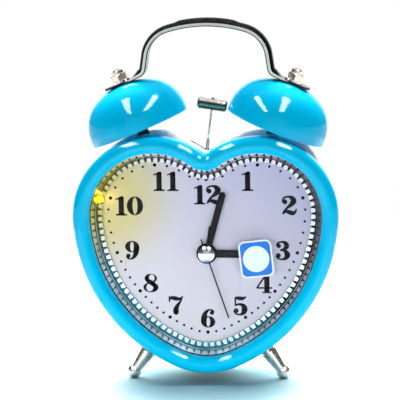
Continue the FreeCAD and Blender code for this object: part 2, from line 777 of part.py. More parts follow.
def cannon_pinion():
    """Minute pipe with its pinion; its plain back end turns in the centre wheel by friction."""
    front = DIAL_FRONT - MINUTE_HAND_RISE - HAND_T
    end = layer(3) + WHEEL_T
    pipe = tube(0, DIAL_Z, front, end - front, cannon_r(), ARBOR_R + RUN)
    pinion = gear(0, DIAL_Z, layer(2), WHEEL_T, CANNON_TEETH, MODULE, ARBOR_R + RUN,
                  180.0 / CANNON_TEETH)
    return fused(pipe, pinion)


def train_module():
    """Module of centre wheel and third pinion, which share the third wheel's distance."""
    return 2.0 * mesh_distance(THIRD_TEETH, SECOND_PINION_TEETH) / (CENTRE_TEETH + THIRD_PINION_TEETH)


def centre_wheel():
    return gear(0, DIAL_Z, layer(3), WHEEL_T, CENTRE_TEETH, train_module(), cannon_r() + RUN, -90.0)


def third_wheel():
    x, z = third_place()
    bore = PIN_R + RUN
    pinion = gear(x, z, layer(3), LAYER + 0.1, THIRD_PINION_TEETH, train_module(), bore,
                  90.0 + 180.0 / THIRD_PINION_TEETH)
    wheel = gear(x, z, layer(4), WHEEL_T, THIRD_TEETH, MODULE, bore, 90.0)
    return fused(wheel, pinion)


def second_wheel():
    """Seconds arbor with its pinion and wheel; the second hand sits on its front end."""
    front = DIAL_FRONT - SECOND_HAND_RISE - HAND_T
    arbor = rod(0, DIAL_Z, front, HOUSING_BACK - 1.0 - front, ARBOR_R)
    pinion = gear(0, DIAL_Z, layer(4), LAYER + 0.1, SECOND_PINION_TEETH, MODULE, 0,
                  -90.0 + 180.0 / SECOND_PINION_TEETH)
    wheel = gear(0, DIAL_Z, layer(5), WHEEL_T, SECOND_TEETH, MODULE, 0, MID_DIRECTION)
    return fused(arbor, pinion, wheel)


def intermediate_wheel():
    x, z = mid_place()
    bore = PIN_R + RUN
    pinion = gear(x, z, layer(5), LAYER + 0.1, MID_PINION_TEETH, MODULE, bore,
                  MID_DIRECTION + 180.0 + 180.0 / MID_PINION_TEETH)
    wheel = gear(x, z, layer(6), WHEEL_T, MID_TEETH, MID_MODULE, bore, ROTOR_DIRECTION)
    return fused(wheel, pinion)


def rotor():
    x, z = rotor_place()
    pinion = gear(x, z, layer(6), LAYER + 0.1, ROTOR_PINION_TEETH, MID_MODULE, 0,
                  ROTOR_DIRECTION + 180.0 + 180.0 / ROTOR_PINION_TEETH)
    magnet = rod(x, z, layer(7), 1.8, 2.5)
    pivot = rod(x, z, layer(7), HOUSING_BACK - 1.0 - layer(7), PIN_R / 2.0)
    return fused(pinion, magnet, pivot)


def coil_place():
    return -3.0, 9.0, DIAL_Z - HOUSING_DOWN + HOUSING_WALL + 3.2, layer(7) + 0.9


def stator():
    """Flat iron yoke round the rotor, with the coil's core as its lower bar."""
    x, z = rotor_place()
    x0, x1, core_z, depth = coil_place()
    d0, d1 = depth - 0.4, depth + 0.4
    right = block(x - 4.6, x + 4.6, d0, d1, core_z - 1.0, z + 4.6).cut(rod(x, z, d0 - 1, 3, 2.5 + 0.4))
    left = block(-10.5, x0 - 0.4, d0, d1, core_z - 2.4, core_z + 4.5)
    core = block(x0 - 1.0, x - 4.0, d0, d1, core_z - 0.9, core_z + 0.9)
    return solid_of(fused(right, left, core))


def coil():
    x0, x1, core_z, depth = coil_place()
    body = Part.makeCylinder(2.9, x1 - x0, at(x0, depth, core_z), V(1, 0, 0))
    return body.cut(block(x0 - 1, x1 + 1, depth - 0.4, depth + 0.4, core_z - 0.9, core_z + 0.9))


def circuit_board():
    low = DIAL_Z - HOUSING_DOWN + HOUSING_WALL
    back = HOUSING_BACK - HOUSING_WALL
    board = block(-HOUSING_LEFT + HOUSING_WALL, -11.5, back - 1.0, back, low, DIAL_Z - 6.0)
    chip = Part.makeCylinder(2.6, 1.2, at(-17.0, back - 2.0, DIAL_Z - 12.0), V(0, 1, 0))
    crystal = Part.makeCylinder(1.0, 6.0, at(-17.0, back - 1.8, DIAL_Z - 24.0), V(0, 0, 1))
    return fused(board, chip, crystal)


def stem(x, layer_index, teeth, tooth_at):
    """Setting stem: front pivot, pinion, and a shaft out through the back cover."""
    shaft = rod(x, DIAL_Z, HOUSING_FRONT + HOUSING_WALL + 0.1,
                COVER_BACK + KNOB_GAP + 4.0 - HOUSING_FRONT - HOUSING_WALL - 0.1, STEM_R)
    return fused(shaft, gear(x, DIAL_Z, layer(layer_index), WHEEL_T, teeth, MODULE, 0, tooth_at))


def time_set_stem():
    return stem(time_stem_x(), 2, SETTING_TEETH, 180.0 + 180.0 / SETTING_TEETH)


def alarm_set_stem():
    return stem(-alarm_stem_x(), 0, ALARM_TEETH, 180.0 / ALARM_TEETH)


def knob(x):
    """Fluted knob pressed on a stem."""
    front = COVER_BACK + KNOB_GAP
    body = rod(x, DIAL_Z, front, KNOB_H, KNOB_R)
    body = body.makeFillet(0.7, rim_edges(body, front + KNOB_H))
    flutes = []
    for i in range(KNOB_FLUTES):
        dx, dz = polar(360.0 * i / KNOB_FLUTES, KNOB_R + 0.25)
        flutes.append(rod(x + dx, DIAL_Z + dz, front - 1, KNOB_H + 2, 0.55))
    body = body.cut(Part.makeCompound(flutes))
    return body.cut(rod(x, DIAL_Z, front - 1, 5.0, STEM_R))


# Hands

def turned(shape, clock_angle):
    """Turn a shape made at 12 o'clock clockwise about the dial centre, seen from the front."""
    copy = shape.copy()
    copy.rotate(at(0, 0, DIAL_Z), V(0, 1, 0), clock_angle)
    return copy


def hand(rise, length, width, hub_r, bore, clock_angle):
    """Flat hand with a round tip and a round hub on its pipe."""
    depth = DIAL_FRONT - rise - HAND_T
    bar = block(-width / 2.0, width / 2.0, depth, depth + HAND_T, DIAL_Z, DIAL_Z + length - width / 2.0)
    tip = rod(0, DIAL_Z + length - width / 2.0, depth, HAND_T, width / 2.0)
    shape = fused(bar, tip, rod(0, DIAL_Z, depth, HAND_T, hub_r))
    return turned(shape.cut(rod(0, DIAL_Z, depth - 1, 3, bore)), clock_angle)


def alarm_hand():
    return hand(ALARM_HAND_RISE, ALARM_HAND_LENGTH, ALARM_HAND_WIDTH, alarm_pipe_r() + 0.9,
                alarm_pipe_r(), ALARM_ANGLE)


def hour_hand():
    return hand(HOUR_HAND_RISE, HOUR_HAND_LENGTH, HOUR_HAND_WIDTH, HUB_R, hour_pipe_r(), HOUR_ANGLE)


def minute_hand():
    return hand(MINUTE_HAND_RISE, MINUTE_HAND_LENGTH, MINUTE_HAND_WIDTH, 3.0, cannon_r(), MINUTE_ANGLE)


def second_hand():
    depth = DIAL_FRONT - SECOND_HAND_RISE - HAND_T
    half = SECOND_HAND_WIDTH / 2.0
    bar = block(-half, half, depth, depth + HAND_T, DIAL_Z - SECOND_HAND_TAIL, DIAL_Z + SECOND_HAND_LENGTH)
    shape = fused(bar, rod(0, DIAL_Z, depth, HAND_T, 1.6))
    return turned(shape.cut(rod(0, DIAL_Z, depth - 1, 3, ARBOR_R)), SECOND_ANGLE)


def centre_cap():
    """Domed chrome cap in front of the second hand."""
    depth = DIAL_FRONT - SECOND_HAND_RISE - HAND_T
    rim = 0.3
    dome_h = CAP_DOME_H - rim
    big_r = (CAP_DOME_R ** 2 + dome_h ** 2) / (2.0 * dome_h)
    ball = Part.makeSphere(big_r, at(0, depth - rim + big_r - dome_h, DIAL_Z))
    dome = ball.common(rod(0, DIAL_Z, depth - CAP_DOME_H, dome_h, CAP_DOME_R + 1))
    return fused(dome, rod(0, DIAL_Z, depth - rim, rim, CAP_DOME_R))


# Controls on the back

def light_button():
    z = DIAL_Z + CONTROL_RISE
    body = rod(BUTTON_X, z, CASE_BACK - 3.6, 3.6 + COVER_T + BUTTON_PROUD, BUTTON_R)
    body = body.makeFillet(0.6, rim_edges(body, COVER_BACK + BUTTON_PROUD))
    collar = rod(BUTTON_X, z, CASE_BACK - 4.1, 1.0, BUTTON_R + 0.9)
    return fused(body, collar)


def light_switch():
    """Push switch under the light button, held between two ribs of the cover."""
    z = DIAL_Z + CONTROL_RISE
    half = LIGHT_SWITCH_W / 2.0
    body = block(BUTTON_X - half, BUTTON_X + half, CASE_BACK - 10.0, CASE_BACK - 7.0, z - 3, z + 3)
    return fused(body, rod(BUTTON_X, z, CASE_BACK - 7.2, 1.3, 1.2))


def alarm_slider():
    z = DIAL_Z + CONTROL_RISE - SLIDER_TRAVEL / 2.0
    cap = block(SWITCH_X - SLIDER_W / 2, SWITCH_X + SLIDER_W / 2, COVER_BACK + 0.2, COVER_BACK + 2.4,
                z - SLIDER_H / 2, z + SLIDER_H / 2)
    neck = block(SWITCH_X - 1.2, SWITCH_X + 1.2, CASE_BACK - 1.6, COVER_BACK + 0.4, z - 1.4, z + 1.4)
    grooves = [block(SWITCH_X - 4, SWITCH_X + 4, COVER_BACK + 2.0, COVER_BACK + 3, z + o - 0.2, z + o + 0.2)
               for o in (-1.0, 0.0, 1.0)]
    return solid_of(fused(cap, neck).cut(Part.makeCompound(grooves)))


def alarm_switch():
    """Slide switch body inside the cover; the slider's neck runs in its slot."""
    z = DIAL_Z + CONTROL_RISE
    half = ALARM_SWITCH_W / 2.0
    body = block(SWITCH_X - half, SWITCH_X + half, CASE_BACK - 5.0, CASE_BACK, z - 5.2, z + 5.2)
    return body.cut(block(SWITCH_X - 1.4, SWITCH_X + 1.4, CASE_BACK - 2.4, CASE_BACK + 1, z - 4.3, z + 4.3))


# Lamp

def lamp_x():
    """Where the lamp's dome stands in the ring's wall, on the left."""
    z = LAMP_RISE + DIAL_Z
    return -(LOBE_OFFSET + math.sqrt((LOBE_R - 9.6) ** 2 - (z - LOBE_Z) ** 2))


def lamp_shape(radius, back, nose):
    z = DIAL_Z + LAMP_RISE
    x = lamp_x()
    body = Part.makeCylinder(radius, back, at(x - back, LAMP_DEPTH, z), V(1, 0, 0))
    if nose:
        return fused(body, Part.makeSphere(radius, at(x, LAMP_DEPTH, z)))
    return body


def lamp_back_half():
    """Space behind the front of the lamp's collar."""
    return block(-80, lamp_x() - LAMP_BACK + 0.9, 0, 30, 0, 200)


def led_lamp():
    collar = lamp_shape(LAMP_R + 0.35, LAMP_BACK, False).common(lamp_back_half())
    return fused(lamp_shape(LAMP_R, LAMP_BACK, True), collar)


# Bells and handle

def on_bell_axis(shape, side):
    """Move a shape made on the Z axis, rim plane at 0, to a bell's place."""
    copy = shape.copy()
    copy.rotate(V(0, 0, 0), V(0, 1, 0), side * BELL_TILT)
    copy.translate(at(side * BELL_X, MID_DEPTH, BELL_Z))
    return copy


def bell_profile(inset):
    """Half section of the bell: skirt, shoulder arc, crown arc and a small flat top."""
    crown_r = BELL_CROWN_R - inset
    shoulder_r = BELL_SHOULDER_R - inset
    cx = BELL_R - BELL_SHOULDER_R
    crown_z = BELL_H - BELL_CROWN_R
    rise = math.sqrt((BELL_CROWN_R - BELL_SHOULDER_R) ** 2 - cx ** 2)
    cz = crown_z + rise
    lean = math.atan2(cz - crown_z, cx)
    flat_a = math.acos(BELL_FLAT_R / crown_r)
    flat_z = crown_z + crown_r * math.sin(flat_a)

    def on(centre_x, centre_z, r, a):
        return V(centre_x + r * math.cos(a), 0, centre_z + r * math.sin(a))

    rim = V(BELL_R - inset, 0, 0)
    skirt = V(BELL_R - inset, 0, cz)
    edges = [
        Part.LineSegment(rim, skirt).toShape(),
        Part.Arc(skirt, on(cx, cz, shoulder_r, lean / 2), on(cx, cz, shoulder_r, lean)).toShape(),
        Part.Arc(on(0, crown_z, crown_r, lean), on(0, crown_z, crown_r, (lean + flat_a) / 2),
                 on(0, crown_z, crown_r, flat_a)).toShape(),
        Part.LineSegment(on(0, crown_z, crown_r, flat_a), V(0, 0, flat_z)).toShape(),
        Part.LineSegment(V(0, 0, flat_z), V(0, 0, 0)).toShape(),
        Part.LineSegment(V(0, 0, 0), rim).toShape(),
    ]
    face = Part.Face(Part.Wire(Part.__sortEdges__(edges)))
    return face.revolve(V(0, 0, 0), V(0, 0, 1), 360.0), flat_z


def bell(side):
    outer, top = bell_profile(0.0)
    inner, _ = bell_profile(BELL_WALL)
    shape = outer.cut(inner).cut(Part.makeCylinder(STUD_R, 10, V(0, 0, top - 6)))
    return on_bell_axis(shape, side)


def bell_top():
    return bell_profile(0.0)[1]


def bell_inner_top():
    return bell_profile(BELL_WALL)[1]


def bell_posts():
    """Dark tubes between drum and bell, their feet shaped to the drum."""
    posts = []
    for side in (-1, 1):
        post = Part.makeCylinder(POST_R, bell_inner_top() + 8.0, V(0, 0, -8.0))
        post = post.cut(Part.makeCylinder(STUD_R, 60, V(0, 0, -20)))
        posts.append(solid_of(on_bell_axis(post, side).cut(drum_envelope())))
    return Part.makeCompound(posts)


def bell_studs():
    studs = []
    for side in (-1, 1):
        length = STUD_BELOW + bell_top() + TAB_T + WASHER_T + NUT_H + 1.0
        studs.append(on_bell_axis(Part.makeCylinder(STUD_R, length, V(0, 0, -STUD_BELOW)), side))
    return Part.makeCompound(studs)


def stud_nuts():
    """Hexagon nuts inside the drum for bells and legs, their faces fitted under its wall."""
    nuts = []
    inside = drum_inside()
    tall = hexagon(NUT_FLATS, INNER_NUT_H + 3.5).cut(Part.makeCylinder(STUD_R, 20, V(0, 0, -2)))
    for side in (-1, 1):
        bell_nut = on_bell_axis(tall.translated(V(0, 0, -STUD_BELOW + 0.2)), side)
        leg_nut = on_leg_axis(tall.translated(V(0, 0, leg_reach() + STUD_INSIDE - INNER_NUT_H - 3.7)), side)
        nuts.append(solid_of(bell_nut.common(inside)))
        nuts.append(solid_of(leg_nut.common(inside)))
    return Part.makeCompound(nuts)


def hexagon(flats, height):
    r = flats / math.sqrt(3.0)
    pts = [V(r * math.cos(math.radians(60 * i + 30)), r * math.sin(math.radians(60 * i + 30)), 0)
           for i in range(7)]
    return Part.Face(Part.makePolygon(pts)).extrude(V(0, 0, height))


def handle_washers():
    washers = []
    for side in (-1, 1):
        disc = Part.makeCylinder(WASHER_R, WASHER_T, V(0, 0, bell_top() + TAB_T))
        washers.append(on_bell_axis(disc.cut(Part.makeCylinder(STUD_R, 60, V(0, 0, 0))), side))
    return Part.makeCompound(washers)


def handle_nuts():
    """Cap nuts: hexagon with a chamfered top, a short neck and a dome."""
    nuts = []
    base = bell_top() + TAB_T + WASHER_T
    for side in (-1, 1):
        nut = hexagon(NUT_FLATS, NUT_H)
        corner = NUT_FLATS / math.sqrt(3.0)
        nut = nut.common(Part.makeCone(corner + NUT_H - 0.5, corner - 0.5, NUT_H))
        dome = Part.makeCylinder(CAP_R, CAP_H - 1.0, V(0, 0, NUT_H)).fuse(
            Part.makeSphere(CAP_R, V(0, 0, NUT_H + CAP_H - CAP_R)).common(
                Part.makeCylinder(CAP_R, CAP_H, V(0, 0, NUT_H))))
        nut = nut.fuse(dome).removeSplitter()
        nut.translate(V(0, 0, base))
        nut = nut.cut(Part.makeCylinder(STUD_R, base + NUT_H + 1.0, V(0, 0, 0)))
        nuts.append(solid_of(on_bell_axis(nut, side)))
    return Part.makeCompound(nuts)


# Strap cross-sections: thickness at the edges, bulge of the outer face
TAB_SECTION = (TAB_T, 0.0)
BAND_SECTION = (STRAP_T, STRAP_BULGE)
GRIP_SECTION = (STRAP_T, GRIP_BULGE)


def strap_section(origin, outward, section):
    """Outline of the strap: flat with broken edges inside, bulged outside. origin is on the inner face."""
    thickness, bulge = section
    half = STRAP_W / 2.0
    chamfer = thickness * 0.3

    def corner(across, out):
        return origin + V(0, across, 0) + outward * out

    if bulge:
        outside = Part.Arc(corner(half, thickness), corner(0, thickness + bulge), corner(-half, thickness))
    else:
        outside = Part.LineSegment(corner(half, thickness), corner(-half, thickness))
    edges = [
        Part.LineSegment(corner(chamfer - half, 0), corner(half - chamfer, 0)).toShape(),
        Part.LineSegment(corner(half - chamfer, 0), corner(half, chamfer)).toShape(),
        Part.LineSegment(corner(half, chamfer), corner(half, thickness)).toShape(),
        outside.toShape(),
        Part.LineSegment(corner(-half, thickness), corner(-half, chamfer)).toShape(),
        Part.LineSegment(corner(-half, chamfer), corner(chamfer - half, 0)).toShape(),
    ]
    return Part.Wire(edges)


def strap_loft(start, start_out, start_section, end, end_out, end_section):
    return Part.makeLoft([strap_section(start, start_out, start_section),
                          strap_section(end, end_out, end_section)], True, True)


def handle_half():
    """Left half of the strap in the middle plane: tab, bend, leg, corner and half the crown."""
    tilt = math.radians(BELL_TILT)
    tab_dir = V(math.cos(tilt), 0, math.sin(tilt))
    tab_out = V(-math.sin(tilt), 0, math.cos(tilt))
    seat = on_bell_axis(Part.Vertex(V(0, 0, bell_top())), -1).Point
    lean = math.radians(LEG_LEAN)
    leg_dir = V(math.sin(lean), 0, math.cos(lean))
    leg_out = V(-math.cos(lean), 0, math.sin(lean))
    bend_corner = seat + tab_dir * TAB_IN
    turn = tab_dir.getAngle(leg_dir)
    bend_run = BEND_R * math.tan(turn / 2.0)
    bend_start = bend_corner - tab_dir * bend_run
    bend_end = bend_corner + leg_dir * bend_run
    bend_centre = bend_start + tab_out * BEND_R

    tab_end = seat - tab_dir * (TAB_OUT - STRAP_W / 2.0)
    tab_stop = seat + tab_dir * TAB_FLAT
    tab = strap_loft(tab_end, tab_out, TAB_SECTION, tab_stop, tab_out, TAB_SECTION)
    round_end = Part.makeCylinder(STRAP_W / 2.0, TAB_T, tab_end, tab_out)
    swell = strap_loft(tab_stop, tab_out, TAB_SECTION, bend_start, tab_out, BAND_SECTION)
    bend = Part.Face(strap_section(bend_start, tab_out, BAND_SECTION)).revolve(
        bend_centre, V(0, -1, 0), math.degrees(turn))

    crown_centre = at(0, MID_DEPTH, CROWN_TOP - CROWN_R)
    offset = bend_corner - crown_centre
    inward = leg_out * -1.0
    reach = offset.dot(inward) + CORNER_R
    along = math.sqrt((CROWN_R - CORNER_R) ** 2 - reach ** 2)
    corner_centre = crown_centre + inward * reach + leg_dir * along
    leg_end = corner_centre + leg_out * CORNER_R
    leg = Part.Face(strap_section(bend_end, leg_out, BAND_SECTION)).extrude(leg_end - bend_end)
    crown_out = (corner_centre - crown_centre).normalize()
    corner_turn = math.degrees(leg_out.getAngle(crown_out))
    corner = Part.Face(strap_section(leg_end, leg_out, BAND_SECTION)).revolve(
        corner_centre, V(0, 1, 0), corner_turn)

    def crown_frame(degrees):
        a = math.radians(degrees)
        out = V(-math.sin(a), 0, math.cos(a))
        return crown_centre + out * CROWN_R, out

    start_angle = math.degrees(crown_out.getAngle(V(0, 0, 1)))
    first, first_out = crown_frame(start_angle)
    arch = Part.Face(strap_section(first, first_out, BAND_SECTION)).revolve(
        crown_centre, V(0, 1, 0), start_angle - GRIP_HALF_ANGLE)
    low, low_out = crown_frame(GRIP_HALF_ANGLE)
    high, high_out = crown_frame(GRIP_HALF_ANGLE - GRIP_RUN_OUT)
    run_out = strap_loft(low, low_out, BAND_SECTION, high, high_out, GRIP_SECTION)
    grip = Part.Face(strap_section(high, high_out, GRIP_SECTION)).revolve(
        crown_centre, V(0, 1, 0), GRIP_HALF_ANGLE - GRIP_RUN_OUT)
    shape = fused(tab, round_end, swell, bend, leg, corner, arch, run_out, grip)
    return shape.cut(on_bell_axis(Part.makeCylinder(STUD_R, 60, V(0, 0, 0)), -1))


def handle():
    half = handle_half()
    return solid_of(half.fuse(half.mirror(V(0, 0, 0), V(1, 0, 0))).removeSplitter())


# Striker and its drive

def rocker_front():
    return MID_DEPTH - ROCKER_T / 2.0


def crank_depth():
    """Front of the crank wheel, which runs between the plate and the rocker."""
    return rocker_front() - 0.4 - CRANK_WHEEL_T


def plate_back():
    return crank_depth() - 0.3


def plate_front():
    return plate_back() - PLATE_T


def crank_z():
    return PIVOT_Z - CRANK_DROP


def motor_place():
    dx, dz = polar(MOTOR_DIRECTION, mesh_distance(CRANK_TEETH, MOTOR_TEETH))
    return dx, crank_z() + dz


def frame_post_places():
    return [(-14.0, crank_z() - 4.0), (18.5, crank_z() - 2.0)]


def striker_frame():
    """Sheet bracket that carries motor, crank wheel and rocker."""
    mx, mz = motor_place()
    plate = block(-17.0, 21.5, plate_front(), plate_back(), crank_z() - 7.0, PIVOT_Z + 1.0)
    plate = plate.cut(block(-18, -6.0, plate_front() - 1, plate_back() + 1, crank_z() + 1.0, PIVOT_Z + 3))
    boss = rod(0, PIVOT_Z, plate_front(), rocker_front() - 0.2 - plate_front(), 2.4)
    plate = plate.fuse(boss).removeSplitter()
    plate = plate.cut(rod(mx, mz, plate_front() - 1, PLATE_T + 2, 1.6))
    for x, z in frame_post_places():
        plate = plate.cut(rod(x, z, plate_front() - 1, PLATE_T + 2, SCREW_R))
    for z in (PIVOT_Z, crank_z()):
        plate = plate.cut(rod(0, z, plate_front() - 1, PLATE_T + 6, PIN_R))
    return solid_of(plate)


def striker_frame_screws():
    screws = []
    for x, z in frame_post_places():
        head = rod(x, z, plate_front() - 1.2, 1.2, 2.0)
        screws.append(head.fuse(rod(x, z, plate_front(), PLATE_T + 5.0, SCREW_R)).removeSplitter())
    return Part.makeCompound(screws)


def striker_pins():
    """Axle of the crank wheel and headed pivot pin of the rocker, pressed into the frame."""
    axle = rod(0, crank_z(), plate_front(), crank_depth() + CRANK_WHEEL_T - 0.6 - plate_front(), PIN_R)
    rocker_back = rocker_front() + ROCKER_T
    pivot = rod(0, PIVOT_Z, plate_front(), rocker_back + 0.6 - plate_front(), PIN_R)
    head = rod(0, PIVOT_Z, rocker_back + 0.1, 0.5, PIN_R + 0.5)
    return Part.makeCompound([axle, fused(pivot, head)])


def striker_motor():
    x, z = motor_place()
    front = HOUSING_FRONT + 0.2
    can = rod(x, z, front, plate_front() - front, MOTOR_R)
    can = can.makeFillet(0.8, rim_edges(can, front))
    nose = rod(x, z, plate_front(), PLATE_T, 1.6)
    shaft_hole = rod(x, z, plate_front() - 4, PLATE_T + 6, 0.5 + RUN)
    return fused(can, nose).cut(shaft_hole)


def motor_pinion():
    x, z = motor_place()
    back = crank_depth() + CRANK_WHEEL_T
    shaft = rod(x, z, plate_front() - 3.0, back + 0.2 - plate_front() + 3.0, 0.5)
    toothed = gear(x, z, crank_depth() - 0.1, CRANK_WHEEL_T + 0.2, MOTOR_TEETH, MODULE, 0,
                   MOTOR_DIRECTION + 180.0 + 180.0 / MOTOR_TEETH)
    return fused(shaft, toothed)


def crank_wheel():
    """Wheel on a blind bore, with an off-centre pin that works in the rocker's slot."""
    wheel = gear(0, crank_z(), crank_depth(), CRANK_WHEEL_T, CRANK_TEETH, MODULE, 0, MOTOR_DIRECTION)
    wheel = wheel.cut(rod(0, crank_z(), crank_depth() - 1, CRANK_WHEEL_T + 0.5, PIN_R + RUN))
    back = crank_depth() + CRANK_WHEEL_T
    pin = rod(-CRANK_THROW, crank_z(), back - 0.3, rocker_front() + ROCKER_T + 0.5 - back, CRANK_PIN_R)
    return fused(wheel, pin)


def striker_rocker():
    """Plastic lever: slotted arm below the pivot, tapered neck for the wire above it."""
    d0, d1 = rocker_front(), rocker_front() + ROCKER_T
    arm = block(-ROCKER_W / 2, ROCKER_W / 2, d0, d1, PIVOT_Z - ROCKER_ARM, PIVOT_Z)
    arm = arm.cut(block(-ROCKER_SLOT / 2, ROCKER_SLOT / 2, d0 - 1, d1 + 1,
                        PIVOT_Z - ROCKER_ARM - 1, PIVOT_Z - ROCKER_ARM + 5.0))
    arm.rotate(at(0, 0, PIVOT_Z), V(0, 1, 0), ROCKER_REST)
    hub = rod(0, PIVOT_Z, d0, ROCKER_T, 2.6)
    web = block(-2.6, 0.9, d0, d1, PIVOT_Z, PIVOT_Z + 4.0)
    foot = V(-1.1, 0, PIVOT_Z + 3.0)
    top = V(NECK_X, 0, NECK_Z)
    run = top - foot
    neck = Part.makeCone(1.1, 0.62, run.Length, at(foot.x, MID_DEPTH, foot.z), run)
    shape = fused(arm, hub, web, neck)
    shape = shape.cut(rod(0, PIVOT_Z, d0 - 2, ROCKER_T + 4, PIN_R + RUN))
    return solid_of(shape.cut(wire_rod()))


def wire_rod():
    """Straight striker wire from inside the rocker's neck to the head."""
    head = at(HEAD_X, MID_DEPTH, HEAD_Z)
    top = at(NECK_X, MID_DEPTH, NECK_Z)
    start = top - (head - top).normalize() * 2.5
    return Part.makeCylinder(WIRE_R, (head - start).Length, start, head - start)


def head_body():
    a = math.radians(HEAD_TILT)
    along = V(math.cos(a), 0, -math.sin(a))
    start = at(HEAD_X, MID_DEPTH, HEAD_Z) - along * (HEAD_LENGTH / 2.0)
    body = Part.makeCylinder(HEAD_R, HEAD_LENGTH, start, along)
    body = body.makeChamfer(0.8, [e for e in body.Edges if e.Closed and len(e.Vertexes) == 1
                                  and e.Length > HEAD_R * 6])
    nub = Part.makeCylinder(0.8, HEAD_R + 0.4, at(HEAD_X, MID_DEPTH, HEAD_Z), V(math.sin(a), 0, math.cos(a)))
    return fused(body, nub)


def striker_wire():
    return wire_rod()


def striker_head():
    return solid_of(head_body().cut(wire_rod()))


# Feet

def on_leg_axis(shape, side):
    """Move a shape made on the Z axis, ball centre at 0, to a leg's place."""
    copy = shape.copy()
    copy.rotate(V(0, 0, 0), V(0, 1, 0), -side * FOOT_SPLAY)
    copy.translate(at(side * FOOT_X, FOOT_DEPTH, FOOT_BALL_R - FOOT_FLAT))
    return copy


def leg_reach():
    """Distance from the ball's centre along the leg to the drum's outside."""
    sx, sz = side_centre()
    a = math.radians(FOOT_SPLAY)
    px, pz = FOOT_X - sx, FOOT_BALL_R - FOOT_FLAT - sz
    ux, uz = -math.sin(a), math.cos(a)
    b = px * ux + pz * uz
    c = px ** 2 + pz ** 2 - (SIDE_R - CASE_INSET) ** 2
    return -b - math.sqrt(b * b - c)


def legs():
    """Turned legs: ball, taper, groove, bead and threaded stud."""
    reach = leg_reach() - LEG_WASHER_T
    bead_at = reach - LEG_BEAD_T
    groove_at = bead_at - LEG_GROOVE_T
    shapes = []
    for side in (-1, 1):
        ball = Part.makeSphere(FOOT_BALL_R)
        taper = Part.makeCone(LEG_NECK_R, LEG_TOP_R, groove_at)
        groove = Part.makeCylinder(LEG_GROOVE_R, LEG_GROOVE_T, V(0, 0, groove_at))
        bead = Part.makeCylinder(LEG_BEAD_R, LEG_BEAD_T, V(0, 0, bead_at))
        stud = Part.makeCylinder(STUD_R, LEG_WASHER_T + STUD_INSIDE, V(0, 0, reach))
        leg = on_leg_axis(fused(ball, taper, groove, bead, stud), side)
        shapes.append(solid_of(leg.cut(block(-90, 90, 0, 90, -20, 0))))
    return Part.makeCompound(shapes)


def leg_washers():
    """Washers under the legs, their upper faces shaped to the drum."""
    shapes = []
    reach = leg_reach() - LEG_WASHER_T
    for side in (-1, 1):
        disc = Part.makeCylinder(LEG_WASHER_R, LEG_WASHER_T + 3.0, V(0, 0, reach))
        disc = disc.cut(Part.makeCylinder(STUD_R, 30, V(0, 0, 0)))
        shapes.append(solid_of(on_leg_axis(disc, side).cut(drum_envelope())))
    return Part.makeCompound(shapes)


def rear_foot():
    """Moulded peg under the back of the case, flat on the table."""
    top = TIP_CLEARANCE + CASE_INSET
    peg = Part.makeCone(REAR_FOOT_R, REAR_FOOT_R - 0.8, top + 1.0, at(0, REAR_FOOT_DEPTH, 0), V(0, 0, 1))
    peg = peg.cut(drum_envelope())
    return fused(solid_of(peg), Part.makeCylinder(STUD_R, 5.0, at(0, REAR_FOOT_DEPTH, top - 1.0), V(0, 0, 1)))


PARTS = {
    "front_bezel": front_bezel,
    "lens": lens,
    "inner_ring": inner_ring,
    "dial": dial,
    "dial_frame": dial_frame,
    "case_shell": case_shell,
    "back_cover": back_cover,
    "cover_screws": cover_screws,
    "battery_door": battery_door,
    "battery_cell": battery_cell,
    "battery_contacts": battery_contacts,
    "movement_front_housing": movement_front_housing,
    "movement_rear_housing": movement_rear_housing,
    "movement_screws": movement_screws,
    "circuit_board": circuit_board,
    "stator": stator,
    "coil": coil,
    "rotor": rotor,
    "intermediate_wheel": intermediate_wheel,
    "second_wheel": second_wheel,
    "third_wheel": third_wheel,
    "centre_wheel": centre_wheel,
    "cannon_pinion": cannon_pinion,
    "minute_wheel": minute_wheel,
    "hour_wheel": hour_wheel,
    "alarm_wheel": alarm_wheel,
    "alarm_hand": alarm_hand,
    "hour_hand": hour_hand,
    "minute_hand": minute_hand,
    "second_hand": second_hand,
    "centre_cap": centre_cap,
    "time_set_stem": time_set_stem,
    "time_set_knob": lambda: knob(time_stem_x()),
    "alarm_set_stem": alarm_set_stem,
    "alarm_set_knob": lambda: knob(-alarm_stem_x()),
    "alarm_slider": alarm_slider,
    "alarm_switch": alarm_switch,
    "light_button": light_button,
    "light_switch": light_switch,
    "led_lamp": led_lamp,
    "striker_frame": striker_frame,
    "striker_frame_screws": striker_frame_screws,
    "striker_pins": striker_pins,
    "striker_motor": striker_motor,
    "motor_pinion": motor_pinion,
    "crank_wheel": crank_wheel,
    "striker_rocker": striker_rocker,
    "striker_wire": striker_wire,
    "striker_head": striker_head,
    "bell_left": lambda: bell(-1),
    "bell_right": lambda: bell(1),
    "bell_posts": bell_posts,
    "bell_studs": bell_studs,
    "stud_nuts": stud_nuts,
    "handle": handle,
    "handle_washers": handle_washers,
    "handle_nuts": handle_nuts,
    "legs": legs,
    "leg_washers": leg_washers,
    "rear_foot": rear_foot,
}


def build():
    os.makedirs("parts", exist_ok=True)
    for name, make in PARTS.items():
        shape = make()
        shape.exportStep(os.path.join("parts", name + ".step"))
        print(name, len(shape.Solids), shape.isValid(), round(shape.Volume, 2))


build()
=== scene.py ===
"""Looks of a heart-shaped twin bell alarm clock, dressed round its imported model.

The dial faces -Y and +Z is up. Every length is written in millimetres and turned to metres
where a mesh, a lamp or a shader takes it.
"""
import logging
import math
from dataclasses import dataclass, field
from enum import Enum

import bpy
import numpy as np
from mathutils import Matrix, Vector


